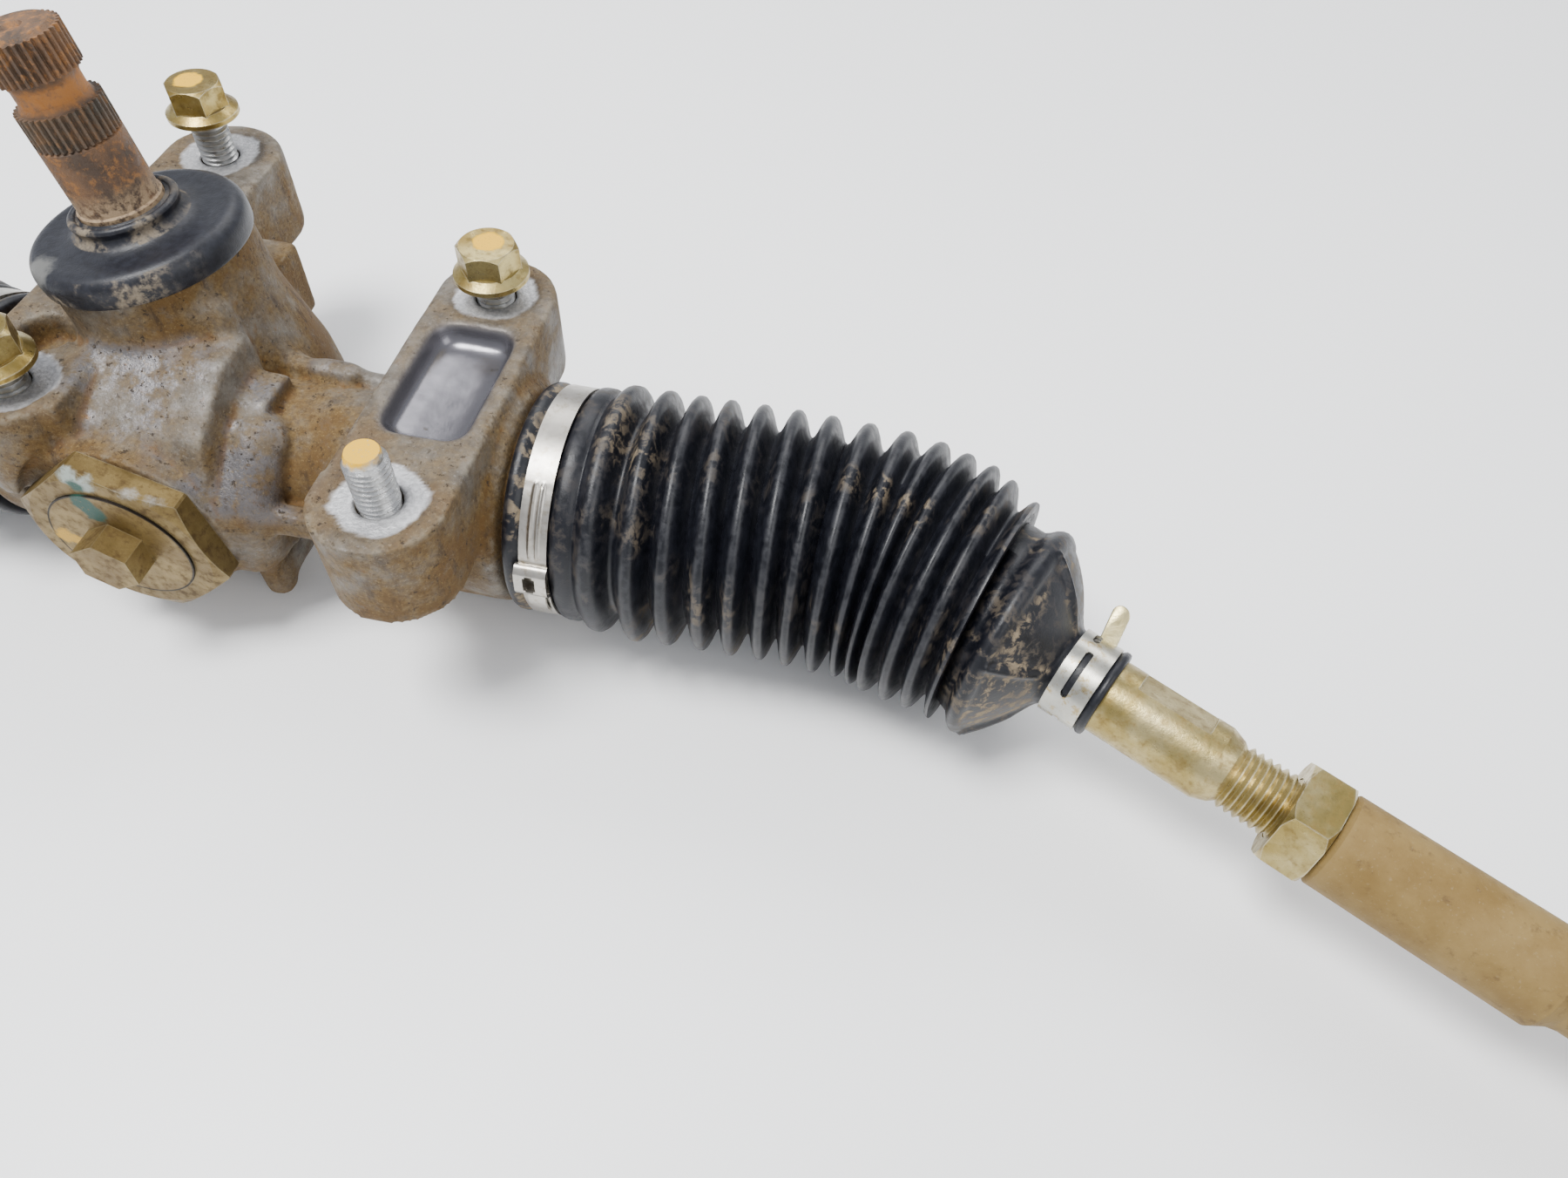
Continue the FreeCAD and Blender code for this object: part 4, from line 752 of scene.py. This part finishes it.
def make_casting():
    src = nodes["housing"]
    me = src.data.copy()
    o = bpy.data.objects.new("casting_src", me)
    scene_col.objects.link(o)
    me.transform(src.matrix_world)
    bm = bmesh.new()
    bm.from_mesh(me)
    bmesh.ops.remove_doubles(bm, verts=bm.verts, dist=1e-6)
    bm.to_mesh(me)
    bm.free()
    parts = [(Vector(a), Vector(b), ra, rb) for a, b, ra, rb in BLOBS]
    bm = bmesh.new()
    bm.from_mesh(me)
    for a, b, ra, rb in parts:
        ax_ = (b - a).normalized()
        t1 = ax_.orthogonal().normalized()
        t2 = ax_.cross(t1)
        rows = []
        for i in range(9):
            q = math.pi / 2 * (i / 8 - 1)
            rows.append((a + ax_ * ra * math.sin(q), ra * math.cos(q)))
        for i in range(9):
            q = math.pi / 2 * (i / 8)
            rows.append((b + ax_ * rb * math.sin(q), rb * math.cos(q)))
        prev = None
        for c, r in rows:
            if r < 1e-4:
                cur = [bm.verts.new(c * MM)]
            else:
                cur = [bm.verts.new((c + (t1 * math.cos(w) + t2 * math.sin(w)) * r) * MM) for w in np.linspace(0, 2 * math.pi, 24, endpoint=False)]
            if prev is not None:
                for j in range(24):
                    k = (j + 1) % 24
                    if len(prev) == 1:
                        bm.faces.new((prev[0], cur[k], cur[j]))
                    elif len(cur) == 1:
                        bm.faces.new((prev[j], prev[k], cur[0]))
                    else:
                        bm.faces.new((prev[j], prev[k], cur[k], cur[j]))
            prev = cur
    bm.to_mesh(me)
    bm.free()
    md = o.modifiers.new("Skin", "REMESH")
    md.mode = "VOXEL"
    md.voxel_size = 0.00075
    md.use_smooth_shade = True
    dg = bpy.context.evaluated_depsgraph_get()
    new = bpy.data.meshes.new_from_object(o.evaluated_get(dg))
    bpy.data.objects.remove(o)
    bpy.data.meshes.remove(me)
    n = len(new.vertices)
    co = np.empty(n * 3, np.float32)
    new.vertices.foreach_get("co", co)
    co = co.reshape(-1, 3).astype(float)
    ne = len(new.edges)
    ed = np.empty(ne * 2, np.int32)
    new.edges.foreach_get("vertices", ed)
    ed = ed.reshape(-1, 2)
    deg = np.bincount(ed.ravel(), minlength=n).astype(float)[:, None]

    def avg(a):
        out = np.zeros_like(a)
        for q in range(a.shape[1]):
            out[:, q] = (np.bincount(ed[:, 0], a[ed[:, 1], q], n) + np.bincount(ed[:, 1], a[ed[:, 0], q], n))
        return out / np.maximum(deg, 1)

    def normals(pts):
        new.vertices.foreach_set("co", pts.astype(np.float32).ravel())
        new.update()
        v = np.empty(n * 3, np.float32)
        new.vertex_normals.foreach_get("vector", v)
        return v.reshape(-1, 3).astype(float)

    nrm = normals(co)
    wide = co.copy()
    for _ in range(10):
        wide = avg(wide)
    curv = ((wide - co) * nrm).sum(1) / MM      # + in creases, - on edges
    p = co / MM
    # bores, machined faces and spigots stay as they are
    rx = np.hypot(p[:, 1], p[:, 2])
    keep = np.zeros(n)
    keep[rx < 24.0] = 1
    keep[(np.abs(p[:, 0]) > 68.5)] = 1
    q = (p - np.array([-22.8, 17.95, 0.0]))
    ax = np.array([-math.sin(math.radians(9)), 0, math.cos(math.radians(9))])
    s_ax = q @ ax
    r_ax = np.linalg.norm(q - s_ax[:, None] * ax, axis=1)
    keep[(r_ax < 22.5)] = 1
    keep[(s_ax > 44)] = np.maximum(keep[(s_ax > 44)], (r_ax[s_ax > 44] < 26.5))
    rg = np.hypot(p[:, 0] + 24.0, p[:, 2])
    keep[(rg < 17.6) & (p[:, 1] < 0)] = 1
    keep[(p[:, 1] < -31.6)] = 1
    for cx, cy in ((49, -36.5), (49, 37.5), (-49, -21.5), (-49, 78.5)):
        rr = np.hypot(p[:, 0] - cx, p[:, 1] - cy)
        keep[rr < 6.3] = 1
        keep[(rr < 12.6) & (p[:, 2] > 31)] = 1
    free = (1 - keep)[:, None]
    # soft cast radii: fill creases strongly, round the outside edges a little
    out = co.copy()
    for it in range(30):
        a = avg(out)
        step = a - out
        side = (step * nrm).sum(1, keepdims=True)
        gain = np.where(side > 0, 0.85, 0.30)
        out = out + step * gain * free
    # cast skin: low uneven swells and a fine grain
    nn = normals(out)
    top = (nn[:, 2] > 0.9) & (p[:, 2] > 30)
    swell = fbm(out, 230, 1) * 0.10 + fbm(out, 700, 2) * 0.05
    out = out + nn * (swell * MM * (1 - keep) * np.where(top, 0.3, 1.0))[:, None]
    nrm = normals(out)
    new.polygons.foreach_set("use_smooth", np.ones(len(new.polygons), bool))

    crease = np.clip((curv - 0.10) / 0.5, 0, 1)
    edge = np.clip((-curv - 0.12) / 0.35, 0, 1)
    for _ in range(3):
        crease = np.maximum(crease * 0.9, avg(crease[:, None])[:, 0])
    bright = np.zeros(n)
    for cx, cy, rr0 in ((49, -36.5, 11.2), (49, 37.5, 11.2), (-49, -21.5, 11.4), (-49, 78.5, 11.2)):
        d = np.hypot(p[:, 0] - cx, p[:, 1] - cy) + fbm(co, 420, 7) * 1.6
        bright = np.maximum(bright, np.clip((rr0 - d) / 0.8, 0, 1) * (p[:, 2] > 31.2))
    clean = np.zeros(n)
    padtop = (p[:, 2] > 24) & (p[:, 0] > 32) & (nrm[:, 2] > 0.6)
    clean[padtop] = 0.30
    pocket = (np.abs(p[:, 0] - 49.4) < 11.5) & (np.abs(p[:, 1] - 4.0) < 21) & (p[:, 2] > 24) & (p[:, 2] < 31.9)
    clean[pocket] = 1.0
    clean[(p[:, 2] > 31) & (p[:, 0] < -32)] = 0.35
    flat = np.zeros(n)
    sh = (p[:, 0] > -37) & (p[:, 0] < 6) & (p[:, 1] < 0) & (nrm[:, 2] > 0.35) & (p[:, 2] > 6)
    flat[sh] = 1.0
    tube = (p[:, 0] > 6) & (p[:, 0] < 34) & (rx > 23) & (nrm[:, 2] > 0.1)
    flat[tube] = 0.9
    gloss = pocket.astype(float)
    gl_edge = np.clip((10.6 - np.abs(p[:, 0] - 49.4)) / 2.0 + 0.8, 0, 1)
    gloss *= gl_edge
    flat[pocket] = 0.6
    for _ in range(4):
        gloss = avg(gloss[:, None])[:, 0]
    put_attr(new, "gloss", gloss)
    for _ in range(6):
        flat = avg(flat[:, None])[:, 0]
        clean = avg(clean[:, None])[:, 0]
    flat = np.clip(flat * np.clip(fbm(co, 150, 4) * 1.3 + 0.85, 0, 1), 0, 1)
    put_attr(new, "crease", crease)
    put_attr(new, "edge", edge)
    put_attr(new, "bright", bright)
    put_attr(new, "clean", clean)
    put_attr(new, "flatgrey", flat)
    new.materials.clear()
    new.materials.append(CAST)
    ob = bpy.data.objects.new("casting", new)
    scene_col.objects.link(ob)
    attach(ob, "housing_group")
    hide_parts("housing")
    return ob


make_casting()


# ---------------------------------------------------------------- spring clamps on the small cuffs
def make_spring_clamp(side):
    sg = 1.0 if side == "right" else -1.0
    turn = -27.0 if side == "right" else 16.0
    y0, e0 = math.radians(turn), math.radians(-2.0)
    d0 = np.array([sg * math.cos(e0) * math.cos(y0), math.cos(e0) * math.sin(y0), math.sin(e0)])
    bc = np.array([sg * 162.0, 0, 0])
    lat = np.cross([0, 0, 1.0], d0)
    lat /= np.linalg.norm(lat)
    up = np.cross(d0, lat)
    NT, NS = 320, 44
    sa, sb = 50.9, 60.3
    th = np.linspace(0, 2 * math.pi, NT, endpoint=False)
    ss = np.linspace(sa, sb, NS)
    verts = []
    for s in ss:
        for t in th:
            r = 10.5
            verts.append(tuple((bc + d0 * s + up * r * math.cos(t) + lat * r * math.sin(t)) * MM))
    faces = []

    def hole(t, s):
        # slots: long one along the band with rounded ends, and a short one by the tab
        for tc, half, sc, hs in CLAMP_SLOTS:
            dt = (t - sg * math.radians(tc) + math.pi) % (2 * math.pi) - math.pi
            a = abs(dt) * 10.9
            ds = abs(s - sc)
            if a < half and ds < hs:
                if a > half - hs and math.hypot(a - (half - hs), ds) > hs:
                    continue
                return True
        return False

    for i in range(NS - 1):
        for j in range(NT):
            k = (j + 1) % NT
            tm = (th[j] + 2 * math.pi / NT / 2)
            sm = (ss[i] + ss[i + 1]) / 2
            if hole(tm, sm):
                continue
            faces.append((i * NT + j, i * NT + k, (i + 1) * NT + k, (i + 1) * NT + j))
    o = mesh_object("spring_clamp_" + side, verts, faces, SPRINGZINC, 40)
    bm = bmesh.new()
    bm.from_mesh(o.data)
    loose = [v for v in bm.verts if not v.link_faces]
    bmesh.ops.delete(bm, geom=loose, context="VERTS")
    c = Vector(tuple(bc * MM))
    dv = Vector(tuple(d0))
    for v in bm.verts:
        pass
    # thicken outwards
    geom = bmesh.ops.extrude_face_region(bm, geom=list(bm.faces))
    new = [g for g in geom["geom"] if isinstance(g, bmesh.types.BMVert)]
    for v in new:
        rel = v.co - c
        rad = (rel - dv * rel.dot(dv)).normalized()
        v.co += rad * 0.00075
    bmesh.ops.recalc_face_normals(bm, faces=bm.faces)
    bm.to_mesh(o.data)
    bm.free()
    o.data.polygons.foreach_set("use_smooth", np.ones(len(o.data.polygons), bool))
    o.data.set_sharp_from_angle(angle=math.radians(40))
    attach(o, "tie_rod_%s_body" % side)
    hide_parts("small_clamp_" + side)
    # upstanding tab with a rounded end, bent out of the band
    ta = math.radians(CLAMP_TAB) * sg
    rad = up * math.cos(ta) + lat * math.sin(ta)
    tan = -up * math.sin(ta) + lat * math.cos(ta)
    prof = []
    L, wdt, thk = 9.5, 4.4, 0.8
    outline = []
    for q in np.linspace(0, math.pi, 15):
        outline.append((math.cos(q) * wdt / 2, L - wdt / 2 + math.sin(q) * wdt / 2))
    outline = [(wdt / 2, 0.0), (wdt / 2, 2.5)] + outline + [(-wdt / 2, 2.5), (-wdt / 2, 0.0)]
    base_p = bc + d0 * 56.4 + rad * 10.7
    lean = rad * 0.97 - d0 * 0.14 + tan * sg * 0.15
    lean /= np.linalg.norm(lean)
    thick = tan
    tan = d0
    loops = []
    for off, sc in ((-thk / 2, 0.90), (-thk / 2 * 0.6, 1.0), (thk / 2 * 0.6, 1.0), (thk / 2, 0.90)):
        loops.append(np.array([(base_p + tan * a * sc + lean * (b if b < 0.1 else b - (1 - sc) * 2) + thick * off
                                + thick * (-0.25 * (b / L) ** 2)) * MM for a, b in outline]))
    n = len(outline)
    verts = np.concatenate(loops)
    faces = []
    for i in range(3):
        for j in range(n):
            k = (j + 1) % n
            faces.append((i * n + j, i * n + k, (i + 1) * n + k, (i + 1) * n + j))
    faces.append(tuple(range(n)))
    faces.append(tuple(reversed(range(3 * n, 4 * n))))
    t = mesh_object("clamp_tab_" + side, verts, faces, TABGOLD, 35)
    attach(t, "tie_rod_%s_body" % side)


CLAMP_SLOTS = [(-35, 6.3, 54.9, 0.85), (28, 2.3, 54.2, 0.9), (-140, 6.0, 55.6, 0.85), (130, 5.0, 55.6, 0.9)]
CLAMP_TAB = 42.0
for s in ("right", "left"):
    make_spring_clamp(s)

# ---------------------------------------------------------------- dust cap
def smooth_path(pts, n=6):
    """Catmull-Rom points through a list of (r, s)."""
    out = []
    q = [np.array(x, float) for x in pts]
    q = [2 * q[0] - q[1]] + q + [2 * q[-1] - q[-2]]
    for i in range(1, len(q) - 2):
        for j in range(n):
            t = j / n
            out.append(0.5 * ((2 * q[i]) + (-q[i - 1] + q[i + 1]) * t + (2 * q[i - 1] - 5 * q[i] + 4 * q[i + 1] - q[i + 2]) * t * t
                              + (-q[i - 1] + 3 * q[i] - 3 * q[i + 1] + q[i + 2]) * t ** 3))
    out.append(q[-2])
    return out


def make_cap():
    prof = smooth_path([(24.62, 46.1), (25.2, 45.95), (25.55, 46.5), (25.75, 48.2), (25.75, 50.0), (25.3, 51.5), (24.2, 52.75), (22.6, 53.3), (20.6, 53.25),
                        (18.2, 53.1), (16.0, 53.3), (14.2, 53.9), (13.1, 54.8), (12.55, 55.8), (12.75, 56.7), (13.0, 57.4), (12.7, 58.1), (11.9, 58.45), (11.3, 58.2),
                        (10.95, 57.7), (10.55, 57.9), (10.15, 58.3)], 5)
    prof += [np.array(x) for x in ((10.1, 57.0), (10.1, 54.6), (10.1, 52.45), (13.3, 52.4), (13.4, 50.2), (18.0, 50.12), (24.55, 50.12), (24.6, 48.0))]
    n = 160
    lat = pin_axis.cross(Vector((0, 1, 0))).normalized()
    up = pin_axis.cross(lat).normalized()
    P, A, U, L = (np.array(x) for x in (pin_base / MM, pin_axis, up, lat))
    th = np.linspace(0, 2 * math.pi, n, endpoint=False)
    loops = [(P[None] + A[None] * q[1] + (np.cos(th) * q[0])[:, None] * U[None] + (np.sin(th) * q[0])[:, None] * L[None]) * MM for q in prof]
    verts, faces = loft(loops, close=True)
    o = mesh_object("dust_cap", verts, faces, CAP, 60)
    co = np.array([v.co for v in o.data.vertices])
    r = np.repeat([q[0] for q in prof], n)
    z = np.repeat([q[1] for q in prof], n)
    rim = ((r > 24.3) & (z < 52.6)) * np.clip(fbm(co, 110, 21) * 1.6 + 0.85, 0, 1)
    front = np.clip((-(co[:, 1] / MM) + 12) / 20, 0, 1)
    collar = ((r < 14.0) & (z > 53.4)) * 0.9 * np.clip(fbm(co, 200, 22) * 1.5 + 0.5, 0, 1)
    put_attr(o.data, "dirt", np.clip(rim * (0.25 + 0.9 * front) + collar, 0, 1))
    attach(o, "housing_group")
    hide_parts("pinion_dust_cap")


make_cap()


# ---------------------------------------------------------------- band clamps on the wide ends
def arc_plate(name, sg, th, xs, rfun, thick, hole, closed, mat):
    """Thin plate wrapped round the rack axis, thickened outwards."""
    nt_, ns = len(th), len(xs)
    verts = []
    for x in xs:
        for t in th:
            r = rfun(t, x)
            verts.append((sg * x * MM, r * math.sin(t) * MM, r * math.cos(t) * MM))
    faces = []
    for i in range(ns - 1):
        for j in range(nt_ if closed else nt_ - 1):
            k = (j + 1) % nt_
            if hole and hole((th[j] + (th[k] if k else th[0] + 2 * math.pi)) / 2, (xs[i] + xs[i + 1]) / 2):
                continue
            faces.append((i * nt_ + j, i * nt_ + k, (i + 1) * nt_ + k, (i + 1) * nt_ + j))
    o = mesh_object(name, verts, faces, mat, 40)
    bm = bmesh.new()
    bm.from_mesh(o.data)
    bmesh.ops.delete(bm, geom=[v for v in bm.verts if not v.link_faces], context="VERTS")
    g = bmesh.ops.extrude_face_region(bm, geom=list(bm.faces))
    for v in g["geom"]:
        if isinstance(v, bmesh.types.BMVert):
            rad = Vector((0, v.co.y, v.co.z)).normalized()
            v.co += rad * thick * MM
    bmesh.ops.recalc_face_normals(bm, faces=bm.faces)
    bm.to_mesh(o.data)
    bm.free()
    o.data.polygons.foreach_set("use_smooth", np.ones(len(o.data.polygons), bool))
    o.data.set_sharp_from_angle(angle=math.radians(38))
    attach(o, "housing_group")
    return o


def make_band(side):
    sg = 1.0 if side == "right" else -1.0
    th = np.linspace(-math.pi, math.pi, 360, endpoint=False)

    def rf(t, x):
        r = 29.06
        g0, g1 = math.radians(-69), math.radians(-37)
        if g0 - 0.06 < t < g1 + 0.06:
            k = min(1.0, max(0.0, min(t - g0, g1 - t) / 0.05 + 1.0)) if t < g0 or t > g1 else 1.0
            r += 0.75 * k * (math.exp(-((x - 77.3) / 0.42) ** 2) + math.exp(-((x - 79.1) / 0.42) ** 2)) - 0.1 * k
        return r
    band = arc_plate("band_clamp_" + side, sg, th, np.linspace(74.55, 81.45, 26), rf, 0.7, None, True, STAINLESS)
    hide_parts("large_clamp_" + side)
    # folded buckle with a punched window, and the loose tail beyond it
    b0, b1 = math.radians(-92), math.radians(-74)
    tb = np.linspace(b0, b1, 34)

    def lift(t, x):
        u = (t - b0) / (b1 - b0)
        return 29.8 + 1.7 * min(1.0, min(u, 1 - u) / 0.22) ** 0.6

    def window(t, x):
        a = (t - (b0 + b1) / 2) * 30
        d = x - 77.6
        return abs(a) < 2.5 and abs(d) < 1.5 and not (abs(a) > 1.9 and abs(d) > 1.0)
    arc_plate("band_buckle_" + side, sg, tb, np.linspace(73.9, 81.9, 30), lift, 0.75, window, False, STAINLESS)
    tt = np.linspace(math.radians(-108), math.radians(-90), 20)
    arc_plate("band_tail_" + side, sg, tt, np.linspace(76.2, 80.6, 8), lambda t, x: 29.82 + 0.5 * math.sin((t - tt[0]) / (tt[-1] - tt[0]) * math.pi), 0.6, None, False, STAINLESS)


for s in ("right", "left"):
    make_band(s)

# ---------------------------------------------------------------- dust boots of the outer joints
def make_stud_boot(side):
    sg = 1.0 if side == "right" else -1.0
    turn = -27.0 if side == "right" else 16.0
    y0, e0 = math.radians(turn), math.radians(-2.0)
    oc = np.array([sg * 162.0, 0, 0]) + 212.0 * np.array([sg * math.cos(e0) * math.cos(y0), math.cos(e0) * math.sin(y0), math.sin(e0)])
    outer = smooth_path([(7.8, 20.3), (8.8, 20.75), (9.9, 20.5), (10.4, 19.6), (10.5, 18.7), (11.6, 18.35), (13.6, 17.9), (15.6, 16.6), (17.3, 14.6), (18.4, 12.6), (18.75, 11.0),
                         (18.6, 9.9), (18.1, 9.5)], 5)
    prof = outer + [np.array(x) for x in ((17.3, 9.5), (17.2, 11.4), (16.2, 13.4), (14.4, 15.4), (12.4, 16.7), (10.4, 17.2), (8.8, 17.5), (7.85, 18.6))]
    n = 120
    th = np.linspace(0, 2 * math.pi, n, endpoint=False)
    loops = [(oc[None] + np.stack([np.cos(th) * q[0], np.sin(th) * q[0], np.full(n, q[1])], 1)) * MM for q in prof]
    verts, faces = loft(loops, close=True)
    o = mesh_object("stud_dust_boot_" + side, verts, faces, RUBBER, 60)
    co = np.array([v.co for v in o.data.vertices])
    r = np.repeat([q[0] for q in prof], n)
    # tip marks the widest band, where the rubber shader paints its grey crest highlight
    put_attr(o.data, "tip", np.clip((r - 17.8) / 0.9, 0, 1))
    put_attr(o.data, "dirt", np.clip(fbm(co, 190, 31) * 1.5 + 0.45, 0, 1) * 0.8)
    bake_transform(o, "tie_rod_%s_body" % side, "outer_seat_%s_body" % side, start=tuple((oc + np.array([0, 0, 11.0])) * MM), end=tuple((oc + np.array([0, 0, 17.6])) * MM))
    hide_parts("stud_boot_" + side)


for s in ("right", "left"):
    make_stud_boot(s)

# ---------------------------------------------------------------- camera
cam_data = bpy.data.cameras.new("Camera")
cam_data.sensor_fit = "HORIZONTAL"
cam_data.sensor_width = 36.0
cam_data.lens = 25.0834
cam_data.clip_start = 0.01
cam_data.clip_end = 50.0
camera = bpy.data.objects.new("Camera", cam_data)
scene_col.objects.link(camera)
right = Vector((0.98113021, 0.18659034, 0.05067102))
down = Vector((0.17829501, -0.77174106, -0.61043151))
fwd = Vector((-0.07479572, 0.60794719, -0.79044659))
camera.matrix_world = Matrix((
    (right.x, -down.x, -fwd.x, 0.15764221),
    (right.y, -down.y, -fwd.y, -0.18068998),
    (right.z, -down.z, -fwd.z, 0.21408454),
    (0, 0, 0, 1)))
bpy.context.scene.camera = camera


# ---------------------------------------------------------------- light
def area(name, loc, target, size, power, color=(1, 1, 1)):
    d = bpy.data.lights.new(name, "AREA")
    d.shape = "RECTANGLE"
    d.size, d.size_y = size
    d.energy = power
    d.color = color
    ob = bpy.data.objects.new(name, d)
    scene_col.objects.link(ob)
    ob.location = loc
    ob.rotation_euler = (Vector(target) - Vector(loc)).to_track_quat("-Z", "Y").to_euler()
    return ob


area("Key", (-0.35, -0.25, 1.3), (0, 0, 0), (0.55, 0.55), 33.0)
area("Fill", (1.2, -0.6, 0.9), (0.1, 0, 0), (1.0, 1.0), 10.0)
area("Back", (0.1, 1.2, 1.2), (0, 0, 0), (1.5, 0.6), 16.0)
world = bpy.data.worlds.new("World")
bpy.context.scene.world = world
world.use_nodes = True
world.node_tree.nodes["Background"].inputs[0].default_value = (0.9, 0.93, 1.0, 1)
world.node_tree.nodes["Background"].inputs[1].default_value = 0.80

# ---------------------------------------------------------------- floor
low = cad_box[0][2]
me = bpy.data.meshes.new("Floor")
s = 6.0
me.from_pydata([(-s, -s, low), (s, -s, low), (s, s, low), (-s, s, low)], [], [(0, 1, 2, 3)])
floor = bpy.data.objects.new("Floor", me)
scene_col.objects.link(floor)
fm, fnt, fb = material("FloorPaint")
fv = coords(fnt)
fn = noise(fnt, fv, 6, 4, 0.5)
fnt.links.new(mix(fnt, fn, (0.92, 0.925, 0.925), (0.96, 0.96, 0.955)), fb.inputs["Base Color"])
fb.inputs["Roughness"].default_value = 0.4
me.materials.append(fm)
